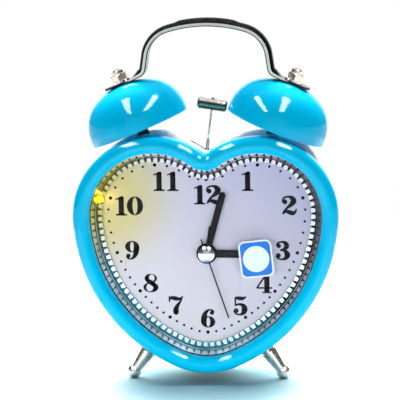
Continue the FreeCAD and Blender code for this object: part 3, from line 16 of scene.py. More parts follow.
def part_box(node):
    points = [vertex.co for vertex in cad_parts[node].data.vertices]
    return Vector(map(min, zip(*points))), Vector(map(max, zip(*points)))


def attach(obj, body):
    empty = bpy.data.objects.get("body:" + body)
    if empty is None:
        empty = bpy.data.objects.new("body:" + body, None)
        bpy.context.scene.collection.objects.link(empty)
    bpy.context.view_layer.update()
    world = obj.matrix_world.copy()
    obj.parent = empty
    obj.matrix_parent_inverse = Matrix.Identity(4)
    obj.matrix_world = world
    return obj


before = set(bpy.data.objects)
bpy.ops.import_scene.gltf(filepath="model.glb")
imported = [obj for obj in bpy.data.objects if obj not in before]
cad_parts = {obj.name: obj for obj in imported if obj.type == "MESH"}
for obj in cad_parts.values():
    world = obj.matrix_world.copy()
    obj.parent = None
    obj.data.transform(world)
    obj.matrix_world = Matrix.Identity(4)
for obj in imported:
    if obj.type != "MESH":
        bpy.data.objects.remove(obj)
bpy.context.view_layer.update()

LOG = logging.getLogger("clock")
MM = 0.001
IMAGE_WIDTH = 400.0
WHITE = "#FFFFFF"
LAMP = (-47.5, 0.0, 82.7)
FACE_ON = (1.0, 0.0, 1.0)
MIRRORED = np.array([-1.0, 1.0])
NOISE_EDGES = (0.35, 0.65)

Rgba = tuple[float, float, float, float]
Triple = tuple[float, float, float]
Pair = tuple[float, float]
Socket = bpy.types.NodeSocket


# Shared helpers

def linear(code: str) -> Rgba:
    """Turn an sRGB hex colour into linear light.

    Args:
        code: Six hex digits with a leading hash.

    Returns:
        Linear red, green and blue with an alpha of one.
    """
    parts = np.array([int(code[i:i + 2], 16) for i in (1, 3, 5)]) / 255.0
    low = parts / 12.92
    high = ((parts + 0.055) / 1.055) ** 2.4
    red, green, blue = np.where(parts <= 0.04045, low, high)
    return (float(red), float(green), float(blue), 1.0)


def per_mm(size: float) -> float:
    """Give the texture scale at which one feature is size millimetres wide."""
    return 1.0 / (size * MM)


def metres(place: Triple) -> Triple:
    """Turn a place in millimetres to metres."""
    return tuple(value * MM for value in place)


class Shader:
    """A node tree under work. Each method gives the socket of its result."""

    def __init__(self, tree: bpy.types.NodeTree) -> None:
        """Take a node tree and empty it."""
        self.tree = tree
        tree.nodes.clear()

    def add(self, kind: str, values: dict | None = None, out: int | str = 0) -> Socket | None:
        """Add one node with its settings and links.

        Args:
            kind: Blender's name of the node type, without the ShaderNode prefix.
            values: Setting or input (by name or number) to its value, settings first. A socket is linked.
            out: Name or number of the result.

        Returns:
            The result's socket, or None from a node that ends the tree.
        """
        node = self.tree.nodes.new("ShaderNode" + kind)
        for key, value in (values or {}).items():
            if isinstance(key, str) and key not in node.inputs:
                setattr(node, key, value)
            elif isinstance(value, Socket):
                self.tree.links.new(value, node.inputs[key])
            else:
                node.inputs[key].default_value = value
        return node.outputs[out] if node.outputs else None

    def ramp(self, value: Socket, edges: Pair, low: float = 0.0, high: float = 1.0,
             smooth: bool = False) -> Socket:
        """Map a value between two edges to a range.

        Args:
            value: Number to map.
            edges: Values that give low and high.
            low: Result at the first edge and before it.
            high: Result at the second edge and after it.
            smooth: Whether the slope starts and ends gently.

        Returns:
            The mapped number.
        """
        return self.add("MapRange", {
            "interpolation_type": "SMOOTHSTEP" if smooth else "LINEAR", "Value": value,
            "From Min": edges[0], "From Max": edges[1], "To Min": low, "To Max": high})

    def across(self, length: Socket, start: float, stop: float, high: float = 1.0,
               smooth: bool = False) -> Socket:
        """Map a length from start and stop in millimetres to 0 and high."""
        return self.ramp(length, (start * MM, stop * MM), 0.0, high, smooth)

    def by_lamp(self, far: float, near: float, smooth: bool = False) -> Socket:
        """Give 0 at far and 1 at near millimetres from the dial lamp, as seen from the front."""
        place = self.add("TexCoord", out="Object")
        flat = self.add("VectorMath", {"operation": "MULTIPLY", 0: place, 1: FACE_ON})
        away = self.add("VectorMath", {"operation": "DISTANCE", 0: flat, 1: metres(LAMP)}, "Value")
        return self.across(away, far, near, smooth=smooth)

    def noise(self, size: float, detail: float = 2.0) -> Socket:
        """Add object-space noise whose features are size millimetres wide."""
        place = self.add("TexCoord", out="Object")
        return self.add("TexNoise", {"Vector": place, "Scale": per_mm(size), "Detail": detail})

    def mix(self, factor: Socket, first: Socket | str, second: Socket | str, blend: str = "MIX") -> Socket:
        """Mix two colours, each a socket or a hex code.

        Args:
            factor: Number from 0 for the first colour to 1 for the second.
            first: Colour at 0.
            second: Colour at 1.
            blend: How the second colour joins the first.

        Returns:
            The mixed colour.
        """
        low, high = (linear(colour) if isinstance(colour, str) else colour for colour in (first, second))
        return self.add("Mix", {"data_type": "RGBA", "blend_type": blend, 0: factor, 6: low, 7: high}, 2)


# Finishes

@dataclass(frozen=True)
class Finish:
    """A finish with one material that is made once and shared."""

    name: str

    def material(self) -> bpy.types.Material:
        """Give this finish's material, making it at its first use.

        Returns:
            The material.
        """
        material = bpy.data.materials.get(self.name)
        if material is None:
            material = bpy.data.materials.new(self.name)
            material.use_nodes = True
            shader = Shader(material.node_tree)
            shader.add("OutputMaterial", {"Surface": self.surface(shader)})
        return material

    def surface(self, shader: Shader) -> Socket:
        """Wire the surface. Each kind of finish has its own."""
        raise NotImplementedError


@dataclass(frozen=True)
class Mottled(Finish):
    """A surface whose tone and sheen vary in soft patches, with fine pits.

    patches is the patches' size in millimetres and their detail. A depth, an unevenness or a
    glow of 0 leaves that part out, and so does an empty shade.
    """

    colour: str = WHITE
    shade: str = ""
    roughness: float = 0.5
    pit: float = 1.0
    pit_depth: float = 0.0
    ior: float = 1.5
    patches: Pair = (3.0, 3.0)
    uneven: float = 0.0
    pit_detail: float = 1.0
    metallic: float = 0.0
    glow: float = 0.0

    def tone(self, shader: Shader) -> Socket | Rgba:
        """Give the colour: plain, or patches of colour and shade.

        Args:
            shader: Node tree under work.

        Returns:
            The colour or its socket.
        """
        if not self.shade:
            return linear(self.colour)
        return shader.mix(shader.noise(*self.patches), self.colour, self.shade)

    def surface(self, shader: Shader) -> Socket:
        """Wire the surface.

        Args:
            shader: Node tree under work.

        Returns:
            The surface's socket.
        """
        tone = self.tone(shader)
        values = {"Base Color": tone, "Roughness": self.roughness, "Metallic": self.metallic, "IOR": self.ior}
        if self.uneven:
            patches = shader.noise(*self.patches)
            dull = self.roughness + self.uneven
            values["Roughness"] = shader.ramp(patches, NOISE_EDGES, self.roughness, dull)
        if self.pit_depth:
            pits = shader.noise(self.pit, self.pit_detail)
            values["Normal"] = shader.add("Bump", {"Height": pits, "Distance": self.pit_depth * MM})
        if self.glow:
            values |= {"Emission Color": tone, "Emission Strength": self.glow}
        return shader.add("BsdfPrincipled", values)


@dataclass(frozen=True)
class Enamel(Mottled):
    """Stove enamel sprayed on pressed steel: a deep gloss coat with a faint orange peel."""

    colour: str = "#00C2F0"
    shade: str = "#00BBEC"
    roughness: float = 0.06
    pit: float = 2.6
    pit_depth: float = 0.006
    ior: float = 1.25
    patches: Pair = (9.0, 2.0)
    uneven: float = 0.03
    pit_detail: float = 2.0


@dataclass(frozen=True)
class Plating(Mottled):
    """Bright metal plate over a polished or moulded base, with a soft waviness in its mirror."""

    colour: str = "#E4E6EA"
    roughness: float = 0.06
    pit: float = 3.0
    pit_depth: float = 0.003
    patches: Pair = (6.0, 4.0)
    uneven: float = 0.05
    pit_detail: float = 2.0
    metallic: float = 1.0


@dataclass(frozen=True)
class TurnedMetal(Mottled):
    """Plain drawn or turned metal: grey, with fine tool lines that blur its reflection."""

    colour: str = "#B4B7BC"
    shade: str = "#9DA0A6"
    roughness: float = 0.3
    pit: float = 0.35
    pit_depth: float = 0.004
    patches: Pair = (3.0, 4.0)
    uneven: float = 0.12
    metallic: float = 1.0


@dataclass(frozen=True)
class Moulding(Mottled):
    """Injection-moulded plastic: an even colour with the mould's spark-eroded grain."""

    colour: str = "#DADBDA"
    shade: str = "#D2D3D3"
    roughness: float = 0.45
    pit: float = 0.5
    pit_depth: float = 0.012
    patches: Pair = (7.0, 3.0)
    uneven: float = 0.08


@dataclass(frozen=True)
class Ink(Mottled):
    """Pad-printed ink: a dense film with a slightly uneven sheen where it dried."""

    colour: str = "#050509"
    shade: str = "#0A0A10"
    roughness: float = 0.6
    ior: float = 1.25
    patches: Pair = (0.9, 3.0)
    uneven: float = 0.12


@dataclass(frozen=True)
class LampResin(Mottled):
    """Tinted epoxy of a lamp that is lit: it glows from inside and keeps a wet shine."""

    colour: str = "#FFD400"
    shade: str = "#FFE400"
    roughness: float = 0.15
    ior: float = 1.52
    patches: Pair = (1.5, 2.0)
    glow: float = 0.7


@dataclass(frozen=True)
class LampLit(Mottled):
    """A surface round the dial lamp: colour fades to shade along an axis, and a painted glow of the lamp
    tints it.
    """

    axis: Triple = (0.0, 0.0, 1.0)
    fade_start: float = 0.0
    fade_stop: float = 1.0
    # Colour of the painted lamp glow, and how it fades from near to far.
    lamp_tint: str = WHITE
    lamp_near: float = 8.0
    lamp_far: float = 30.0
    lamp_smooth: bool = False
    lamp_blend: str = "MIX"

    def tone(self, shader: Shader) -> Socket:
        """Wire the colour from the way along the axis, with a painted glow by the distance to the lamp.

        Args:
            shader: Node tree under work.

        Returns:
            The colour's socket.
        """
        place = shader.add("TexCoord", out="Object")
        along = shader.add("VectorMath", {"operation": "DOT_PRODUCT", 0: place, 1: self.axis}, "Value")
        faded = shader.mix(shader.across(along, self.fade_start, self.fade_stop), self.colour, self.shade)
        lamp_glow_mask = shader.by_lamp(self.lamp_far, self.lamp_near, self.lamp_smooth)
        return shader.mix(lamp_glow_mask, faded, self.lamp_tint, self.lamp_blend)


@dataclass(frozen=True)
class GroovedPlating(LampLit):
    """Bright plate on the moulded ring, with painted shade: dark in the gaps and at the front edge, darker on
    the right wall.
    """

    colour: str = "#F4F4F6"
    shade: str = "#BFDDE4"
    roughness: float = 0.16
    metallic: float = 0.6
    fade_start: float = 66.0
    fade_stop: float = 36.0
    lamp_tint: str = "#D6D68A"
    lamp_far: float = 34.0
    # Colour of the painted shade in the gaps, at the front edge and on the right wall.
    dark: str = "#0A0B10"
    gap_depth: float = 1.5
    wall_depth: float = 1.75
    edge: float = 0.3
    blur: float = 0.2
    smoke_axis: Triple = (0.9, 0.0, 0.3)
    smoke_from: float = 47.0
    smoke_to: float = 64.0
    smoke: float = 0.8

    def tone(self, shader: Shader) -> Socket:
        """Paint shade on the plate by its depth in the ring and on its right wall.

        Args:
            shader: Node tree under work.

        Returns:
            The colour's socket.
        """
        low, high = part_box("inner_ring")
        front, gap, wall = low.y / MM + self.edge, high.y / MM - self.gap_depth, high.y / MM - self.wall_depth
        place = shader.add("TexCoord", out="Object")
        depth = shader.add("SeparateXYZ", {0: place}, "Y")
        # Painted shade deep in the gaps between the teeth and at the ring's front edge.
        edges = shader.add("Math", {
            "operation": "MAXIMUM", 0: shader.across(depth, gap, gap + self.blur),
            1: shader.across(depth, front, front - self.blur)})
        # Painted shade on the front part of the right wall.
        right = shader.add("VectorMath", {"operation": "DOT_PRODUCT", 0: place, 1: self.smoke_axis}, "Value")
        right_wall_shaded = shader.add("Math", {
            "operation": "MULTIPLY", 0: shader.across(depth, wall, wall - self.blur),
            1: shader.across(right, self.smoke_from, self.smoke_to, self.smoke)})
        dark = shader.add("Math", {"operation": "MAXIMUM", 0: edges, 1: right_wall_shaded})
        return shader.mix(dark, super().tone(shader), self.dark)


@dataclass(frozen=True)
class GrooveInk(LampLit):
    """Painted shade in the ring's grooves: black, blue-green low on the left, and an olive painted glow near
    the lamp.
    """

    colour: str = "#07080C"
    shade: str = "#1C6D78"
    roughness: float = 0.45
    ior: float = 1.25
    axis: Triple = (-0.6, 0.0, -0.8)
    fade_start: float = -45.0
    fade_stop: float = -25.0
    lamp_tint: str = "#5A5214"


@dataclass(frozen=True)
class DialCard(LampLit):
    """Satin lacquered dial: pale lilac that fades to white down left, and warm with a painted glow round the
    lit lamp.
    """

    colour: str = "#C0BDD0"
    shade: str = "#FAF1F1"
    roughness: float = 0.5
    pit: float = 0.6
    pit_depth: float = 0.003
    ior: float = 1.3
    patches: Pair = (0.6, 2.0)
    uneven: float = 0.1
    pit_detail: float = 2.0
    axis: Triple = (-0.55, 0.0, -0.835)
    fade_start: float = -95.0
    fade_stop: float = -15.0
    lamp_tint: str = "#FFF3A0"
    lamp_near: float = 12.0
    lamp_far: float = 42.0
    lamp_smooth: bool = True
    lamp_blend: str = "MULTIPLY"


@dataclass(frozen=True)
class StrapPlating(Mottled):
    """Chrome on the bent handle with painted reflection: dark on the outside and the tabs, green-grey on its
    broken inner edges.
    """

    colour: str = "#DCE8E4"
    roughness: float = 0.13
    uneven: float = 0.08
    metallic: float = 1.0
    outside: str = "#2A2427"
    outer_edges: Pair = (0.35, 0.6)
    inside: str = "#3F4B47"
    inner_edges: Pair = (-0.2, -0.45)
    middle: Triple = (0.0, 0.0, 112.0)
    tab_from: float = 33.0
    tab_to: float = 36.0

    def tone(self, shader: Shader) -> Socket:
        """Wire the painted reflection from how far each face turns away from the handle's middle.

        Args:
            shader: Node tree under work.

        Returns:
            The colour's socket.
        """
        place = shader.add("TexCoord", out="Object")
        facing = shader.add("NewGeometry", out="Normal")
        away = shader.add("VectorMath", {"operation": "SUBTRACT", 0: place, 1: metres(self.middle)})
        flat = shader.add("VectorMath", {"operation": "MULTIPLY", 0: away, 1: FACE_ON})
        out = shader.add("VectorMath", {"operation": "NORMALIZE", 0: flat})
        turned = shader.add("VectorMath", {"operation": "DOT_PRODUCT", 0: out, 1: facing}, "Value")
        aside = shader.add("Math", {"operation": "ABSOLUTE", 0: shader.add("SeparateXYZ", {0: place}, "X")})
        # Dark painted reflection on the faces turned outward and on the tabs.
        dark = shader.add("Math", {
            "operation": "MAXIMUM", 0: shader.ramp(turned, self.outer_edges),
            1: shader.across(aside, self.tab_from, self.tab_to)})
        # Green-grey painted reflection on the faces turned inward.
        dull = shader.mix(shader.ramp(turned, self.inner_edges), self.colour, self.inside)
        return shader.mix(dark, dull, self.outside)


@dataclass(frozen=True)
class BarrelPlating(Mottled):
    """Chrome on the turned barrel with a painted reflection: pale on top, a dark line, then dark green down
    its side.
    """

    roughness: float = 0.22
    patches: Pair = (2.0, 3.0)
    uneven: float = 0.08
    metallic: float = 0.6
    stops: tuple[tuple[float, str], ...] = (
        (0.0, "#0A120F"), (0.24, "#10201C"), (0.36, "#2F8074"), (0.52, "#1C4640"), (0.62, "#2A2020"),
        (0.74, "#8A7C7A"), (0.84, "#D8CFCC"), (1.0, "#C8C0BE"))

    def tone(self, shader: Shader) -> Socket:
        """Wire the painted reflection from how far each face looks up.

        Args:
            shader: Node tree under work.

        Returns:
            The colour's socket.
        """
        facing = shader.add("NewGeometry", out="Normal")
        height = shader.ramp(shader.add("SeparateXYZ", {0: facing}, "Z"), (-1.0, 1.0))
        colour = shader.add("ValToRGB", {"Fac": height})
        knots = colour.node.color_ramp.elements
        for place, code in self.stops[1:-1]:
            knots.new(place).color = linear(code)
        knots[0].color = linear(self.stops[0][1])
        knots[-1].color = linear(self.stops[-1][1])
        return colour


@dataclass(frozen=True)
class ClearSheet(Finish):
    """Cast clear plastic sheet: what is behind shows unbent, with a mirror film that grows at the rim."""

    tint: str = "#FAFCFF"
    haze: float = 0.002
    ior: float = 1.16
    roughness: float = 0.03

    def surface(self, shader: Shader) -> Socket:
        """Wire the clear sheet, with its film on outer faces only.

        Args:
            shader: Node tree under work.

        Returns:
            The surface's socket.
        """
        through = shader.add("BsdfTransparent", {"Color": linear(self.tint)})
        milk = shader.add("BsdfTranslucent", {"Color": linear(WHITE)})
        body = shader.add("MixShader", {0: self.haze, 1: through, 2: milk})
        shine = shader.add("BsdfGlossy", {"Roughness": self.roughness})
        rim = shader.add("Fresnel", {"IOR": self.ior})
        inner_face = shader.add("NewGeometry", out="Backfacing")
        outer_face = shader.add("Math", {"operation": "SUBTRACT", 0: 1.0, 1: inner_face})
        film = shader.add("Math", {"operation": "MULTIPLY", 0: rim, 1: outer_face})
        return shader.add("MixShader", {0: film, 1: body, 2: shine})


@dataclass(frozen=True)
class TablePaper(Finish):
    """White table paper: lit and matt near the clock, plain white light far from it.

    Edges are distances from the clock in millimetres. A teal painted shadow lies under it, in an oval.
    """

    fade_edges: Pair = (220.0, 420.0)
    far_light: float = 0.7
    lift: float = 0.04
    paper: str = "#F4F4F4"
    # Colour of the painted shadow under the clock, and its oval.
    near_tint: str = "#B2DFE8"
    bounce_tint: str = "#A8A8A8"
    tint_shape: Triple = (1.0, 0.65, 0.0)
    tint_shift: Triple = (0.0, 12.0, 0.0)
    tint_edges: Pair = (26.0, 58.0)

    def surface(self, shader: Shader) -> Socket:
        """Wire the paper.

        Args:
            shader: Node tree under work.

        Returns:
            The surface's socket.
        """
        place = shader.add("TexCoord", out="Object")
        reach = shader.add("VectorMath", {"operation": "LENGTH", 0: place}, "Value")
        far = shader.across(reach, *self.fade_edges, smooth=True)
        # Teal painted shadow on the paper, in an oval under the clock.
        oval = shader.add("VectorMath", {
            "operation": "MULTIPLY_ADD", 0: place, 1: self.tint_shape, 2: metres(self.tint_shift)})
        oval_reach = shader.add("VectorMath", {"operation": "LENGTH", 0: oval}, "Value")
        under = shader.across(oval_reach, *self.tint_edges, smooth=True)
        tinted = shader.mix(under, self.near_tint, self.paper)
        sheet = shader.mix(shader.add("LightPath", out="Is Diffuse Ray"), tinted, self.bounce_tint)
        direct = shader.add("LightPath", out="Is Camera Ray")
        mirrored = shader.add("LightPath", out="Is Glossy Ray")
        lift = shader.add("Math", {"operation": "MULTIPLY", 0: direct, 1: self.lift})
        seen = shader.add("Math", {"operation": "MAXIMUM", 0: direct, 1: mirrored})
        plain = shader.add("Math", {
            "operation": "MULTIPLY_ADD", 0: seen, 1: 1.0 - self.far_light, 2: self.far_light})
        paper = shader.add("BsdfDiffuse", {"Color": sheet})
        glow, away = (shader.add("Emission", {"Color": linear(WHITE), "Strength": strength})
                      for strength in (lift, plain))
        return shader.add("MixShader", {0: far, 1: shader.add("AddShader", {0: paper, 1: glow}), 2: away})


@dataclass(frozen=True)
class WoundWire(Finish):
    """Enamelled copper wire wound side by side: fine ridges with a varnish shine."""

    colour: str = "#C8743A"
    shade: str = "#8E4A22"
    pitch: float = 0.4
    bands_per_unit: float = 20.0
    wander: float = 0.4
    metallic: float = 0.8
    groove_roughness: float = 0.35
    ridge_roughness: float = 0.25
    ridge: float = 0.1

    def surface(self, shader: Shader) -> Socket:
        """Wire the winding.

        Args:
            shader: Node tree under work.

        Returns:
            The surface's socket.
        """
        turns = shader.add("TexWave", {
            "bands_direction": "X", "Vector": shader.add("TexCoord", out="Object"), "Distortion": self.wander,
            "Scale": per_mm(self.pitch) / self.bands_per_unit}, "Fac")
        return shader.add("BsdfPrincipled", {
            "Base Color": shader.mix(turns, self.shade, self.colour),
            "Metallic": self.metallic,
            "Roughness": shader.ramp(turns, (0.0, 1.0), self.groove_roughness, self.ridge_roughness),
            "Normal": shader.add("Bump", {"Height": turns, "Distance": self.ridge * MM}),
        })


@dataclass(frozen=True)
class Finishes:
    """Every finish of the clock and its table."""

    blue: Enamel = Enamel("stove_enamel_blue")
    silver: Enamel = Enamel("silver_lacquer_on_steel", "#EAF2F4", "#E2ECEE", 0.5, 2.0, 0.004, 1.3)
    chrome: Plating = Plating("chrome_on_steel")
    ring_chrome: GroovedPlating = GroovedPlating("chrome_on_moulded_ring")
    nickel: Plating = Plating("nickel_on_cap_nuts", "#C4BDB4", "", 0.26, 1.2, 0.01)
    strap: StrapPlating = StrapPlating("chrome_strap_with_painted_reflection")
    barrel: BarrelPlating = BarrelPlating("chrome_barrel_with_painted_reflection")
    satin: Plating = Plating("satin_nickel_on_turned_legs", "#E2DDD4", "", 0.26, 1.6, 0.008)
    cap: Plating = Plating("satin_chrome_on_cap", "#F2F2F4", "", 0.16, 1.6, 0.004)
    zinc: TurnedMetal = TurnedMetal("zinc_plated_steel")
    arbor: TurnedMetal = TurnedMetal("turned_arbor_steel", "#B0B2B6", "#8E9096", 0.22, 0.2)
    iron: TurnedMetal = TurnedMetal("soft_iron_lamination", "#92949A", "#7C7E84", 0.42, 0.5)
    can: TurnedMetal = TurnedMetal("drawn_motor_can", "#C0C2C6", "#ACAEB4", 0.28, 0.4)
    spring: TurnedMetal = TurnedMetal("nickelled_spring_steel", "#D0D0D4", "#B8B8BE", 0.2, 0.3)
    dark_tube: Enamel = Enamel("black_lacquered_tube", "#0E0E12", "#16161A", 0.3, 1.5, 0.004, 1.45)
    hand: Enamel = Enamel("black_lacquered_hands", "#060608", "#0A0A0D", 0.4, 1.2, 0.002, 1.25)
    dial: DialCard = DialCard("satin_dial_lacquer")
    ink: Ink = Ink("pad_printed_black_ink")
    groove: GrooveInk = GrooveInk("painted_shade_in_ring_grooves")
    lens: ClearSheet = ClearSheet("cast_clear_sheet")
    lamp: LampResin = LampResin("lit_yellow_epoxy")
    white: Moulding = Moulding("moulded_white_styrene", "#DEDEDC", "#D4D4D3", 0.4)
    cover: Moulding = Moulding("moulded_grey_cover", "#8A9096", "#80868C", 0.5, 0.45, 0.02)
    knob: Moulding = Moulding("moulded_black_knob", "#222226", "#1A1A1D", 0.34, 0.6, 0.008)
    gear: Moulding = Moulding("natural_acetal", "#E6E0CE", "#DDD6C2", 0.35, 0.6, 0.004)
    sleeve: Moulding = Moulding("shrunk_cell_sleeve", "#2A2C30", "#222428", 0.25, 1.2, 0.006)
    board: Moulding = Moulding("solder_masked_board", "#0F6A3C", "#0B5A32", 0.3, 0.8, 0.006)
    winding: WoundWire = WoundWire("enamelled_copper_winding")
    label_white: Ink = Ink("coated_label_white", "#F2F6FA", "#E8EEF5", 0.3)
    label_blue: Ink = Ink("coated_label_blue", "#1C74D8", "#2E86E2", 0.28)
    label_pale: Ink = Ink("coated_label_pale_disc", "#D9F2FB", "#EAF8FD", 0.3)
    table: TablePaper = TablePaper("white_table_paper")


FINISH = Finishes()


# Building and dressing

def dress(finish: Finish, *nodes: str) -> None:
    """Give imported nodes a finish.

    Args:
        finish: Finish for every face of the nodes.
        nodes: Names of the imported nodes.
    """
    material = finish.material()
    for node in nodes:
        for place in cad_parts[node].material_slots:
            place.material = material
        LOG.info("dressed %s in %s", node, finish.name)


def add_object(name: str, data: bpy.types.ID) -> bpy.types.Object:
    """Put a mesh, light or camera into the scene.

    Args:
        name: Object name.
        data: What the object shows.

    Returns:
        The new object.
    """
    thing = bpy.data.objects.new(name, data)
    bpy.context.scene.collection.objects.link(thing)
    return thing


def around(turn: np.ndarray) -> np.ndarray:
    """Give the unit circle's points at a row of angles."""
    return np.stack([np.cos(turn), np.sin(turn)], axis=1)


def circle(count: int) -> np.ndarray:
    """Give points spaced evenly round the unit circle."""
    return around(np.linspace(0.0, 2 * math.pi, count, endpoint=False))


def upright(line: np.ndarray, depth: float) -> np.ndarray:
    """Stand a line of X and Z at a depth along Y."""
    return np.stack([line[:, 0], np.full(len(line), depth), line[:, 1]], axis=1)


def grid_faces(rows: int, columns: int, closed: bool) -> np.ndarray:
    """Number the quads of a grid of corners stored row by row.

    Args:
        rows: Corners along the first parameter.
        columns: Corners along the second parameter.
        closed: Whether the last column joins the first.

    Returns:
        One row of four corner numbers for each quad.
    """
    along = np.arange(columns if closed else columns - 1)
    i, j = (m.ravel() for m in np.meshgrid(np.arange(rows - 1), along, indexing="ij"))
    here, beside = i * columns + j, i * columns + (j + 1) % columns
    return np.stack([here, beside, beside + columns, here + columns], axis=1)


def smooth_path(points: np.ndarray, count: int) -> np.ndarray:
    """Sample a Catmull-Rom curve through points, with its ends doubled.

    Each span is half of (2 b + (c - a) t + (2 a - 5 b + 4 c - d) t^2 + (3 b - a - 3 c + d) t^3)
    for four points a, b, c, d in a row.

    Args:
        points: One row for each point, with any number of values.
        count: Number of samples.

    Returns:
        One row for each sample.
    """
    padded = np.concatenate([2 * points[:1] - points[1:2], points, 2 * points[-1:] - points[-2:-1]])
    along = np.linspace(0.0, len(points) - 1.0, count)
    span = np.minimum(along.astype(int), len(points) - 2)
    t = (along - span)[:, None]
    a, b, c, d = (padded[span + k] for k in range(4))
    cubic = (3 * b - a - 3 * c + d) * t ** 3
    return 0.5 * (2 * b + (c - a) * t + (2 * a - 5 * b + 4 * c - d) * t ** 2 + cubic)


@dataclass
class Gathered:
    """Shapes gathered into one mesh."""

    verts: list[np.ndarray] = field(default_factory=list)
    faces: list[list[int]] = field(default_factory=list)
    count: int = 0

    def put(self, verts: np.ndarray, faces: np.ndarray) -> None:
        """Add a shape.

        Args:
            verts: Corner places in millimetres, one row each.
            faces: Corner numbers that start at 0, one row for each face.
        """
        self.verts.append(verts)
        self.faces += (faces + self.count).tolist()
        self.count += len(verts)

    def piece(self, name: str, finish: Finish, body: str, slot: str) -> None:
        """Put the mesh into the scene as a piece that rides on a body.

        Args:
            name: Piece name.
            finish: Finish for every face.
            body: Body that the piece moves with.
            slot: Material slot of the record; not used.
        """
        mesh = bpy.data.meshes.new(name)
        mesh.from_pydata((np.concatenate(self.verts) * MM).tolist(), [], self.faces)
        mesh.materials.append(finish.material())
        mesh.validate()
        piece = add_object(name, mesh)
        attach(piece, body)
        LOG.info("made %s with %d faces on %s", name, len(mesh.polygons), body)


@dataclass
class Flat(Gathered):
    """Bands gathered on one plane that faces -Y."""

    depth: float = 0.0

    def put_band(self, first: np.ndarray, second: np.ndarray, closed: bool = True) -> None:
        """Add the band between two lines with as many points each, turned to face -Y.

        Args:
            first: Points of one edge.
            second: Points of the other edge.
            closed: Whether the band joins up with itself.
        """
        quads = grid_faces(2, len(first), closed)
        (ax, az), (bx, bz) = (first[1:] - first[:-1]).T, (second - first)[:-1].T
        turn = np.sum(ax * bz - az * bx)
        self.put(upright(np.concatenate([first, second]), self.depth), quads if turn > 0 else quads[:, ::-1])


# Outline of the heart

@dataclass(frozen=True)
class Heart:
    """Heart outline of tangent arcs: notch, two lobes, two long sides and a round tip."""

    lobe_offset: float = 22.43
    lobe_radius: float = 34.92
    side_radius: float = 73.17
    tip_radius: float = 33.22
    notch_radius: float = 3.0
    lobe_height: float = 73.32
    tip_height: float = 4.8
    notch_samples: int = 30
    lobe_samples: int = 140
    side_samples: int = 90
    tip_samples: int = 60

    def side_centre(self) -> np.ndarray:
        """Find the centre of the right side's arc.

        It lies where circles about the lobe's and the tip's centres cross, with the side's
        radius less theirs.

        Returns:
            Centre as X and Z in millimetres.
        """
        lobe = np.array([self.lobe_offset, self.lobe_height])
        tip = np.array([0.0, self.tip_height + self.tip_radius])
        first, second = self.side_radius - self.lobe_radius, self.side_radius - self.tip_radius
        gap = float(np.hypot(*(tip - lobe)))
        unit = (tip - lobe) / gap
        along = (first ** 2 - second ** 2 + gap ** 2) / (2 * gap)
        off = math.sqrt(first ** 2 - along ** 2)
        across = np.array([-unit[1], unit[0]])
        ends = [lobe + unit * along + across * off, lobe + unit * along - across * off]
        return min(ends, key=lambda place: place[0])

    def half(self, inset: float) -> np.ndarray:
        """Sample the right half of the outline from notch to tip, drawn in by an inset.

        Args:
            inset: Distance inside the outline in millimetres.

        Returns:
            Points as X and Z in millimetres.
        """
        rise = math.sqrt((self.lobe_radius + self.notch_radius) ** 2 - self.lobe_offset ** 2)
        notch = np.array([0.0, self.lobe_height + rise])
        lobe = np.array([self.lobe_offset, self.lobe_height])
        tip = np.array([0.0, self.tip_height + self.tip_radius])
        side = self.side_centre()
        to_lobe = math.atan2(lobe[1] - notch[1], lobe[0])
        out_of_lobe = math.atan2(lobe[1] - side[1], lobe[0] - side[0])
        into_tip = math.atan2(tip[1] - side[1], tip[0] - side[0])
        arcs = (
            (notch, self.notch_radius + inset, -math.pi / 2, to_lobe, self.notch_samples),
            (lobe, self.lobe_radius - inset, to_lobe + math.pi, out_of_lobe, self.lobe_samples),
            (side, self.side_radius - inset, out_of_lobe, into_tip, self.side_samples),
            (tip, self.tip_radius - inset, into_tip, -math.pi / 2, self.tip_samples),
        )
        return np.concatenate([centre + radius * around(np.linspace(start, stop, count))
                               for centre, radius, start, stop, count in arcs])

    def reach(self, centre_height: float, clockwise: float, inset: float) -> np.ndarray:
        """Find where a ray from the dial's centre meets the inset outline.

        Args:
            centre_height: Height of the dial's centre in millimetres.
            clockwise: Ray's direction from 12 o'clock in degrees.
            inset: Distance inside the outline in millimetres.

        Returns:
            The crossing as X and Z in millimetres.
        """
        points = self.half(inset) - np.array([0.0, centre_height])
        angles = np.degrees(np.arctan2(points[:, 0], points[:, 1]))
        wanted = clockwise if clockwise <= 180.0 else 360.0 - clockwise
        order = np.argsort(angles)
        distance = np.interp(wanted, angles[order], np.hypot(*points.T)[order])
        turn = math.radians(clockwise)
        return np.array([distance * math.sin(turn), centre_height + distance * math.cos(turn)])


HEART = Heart()


# Sub-assemblies

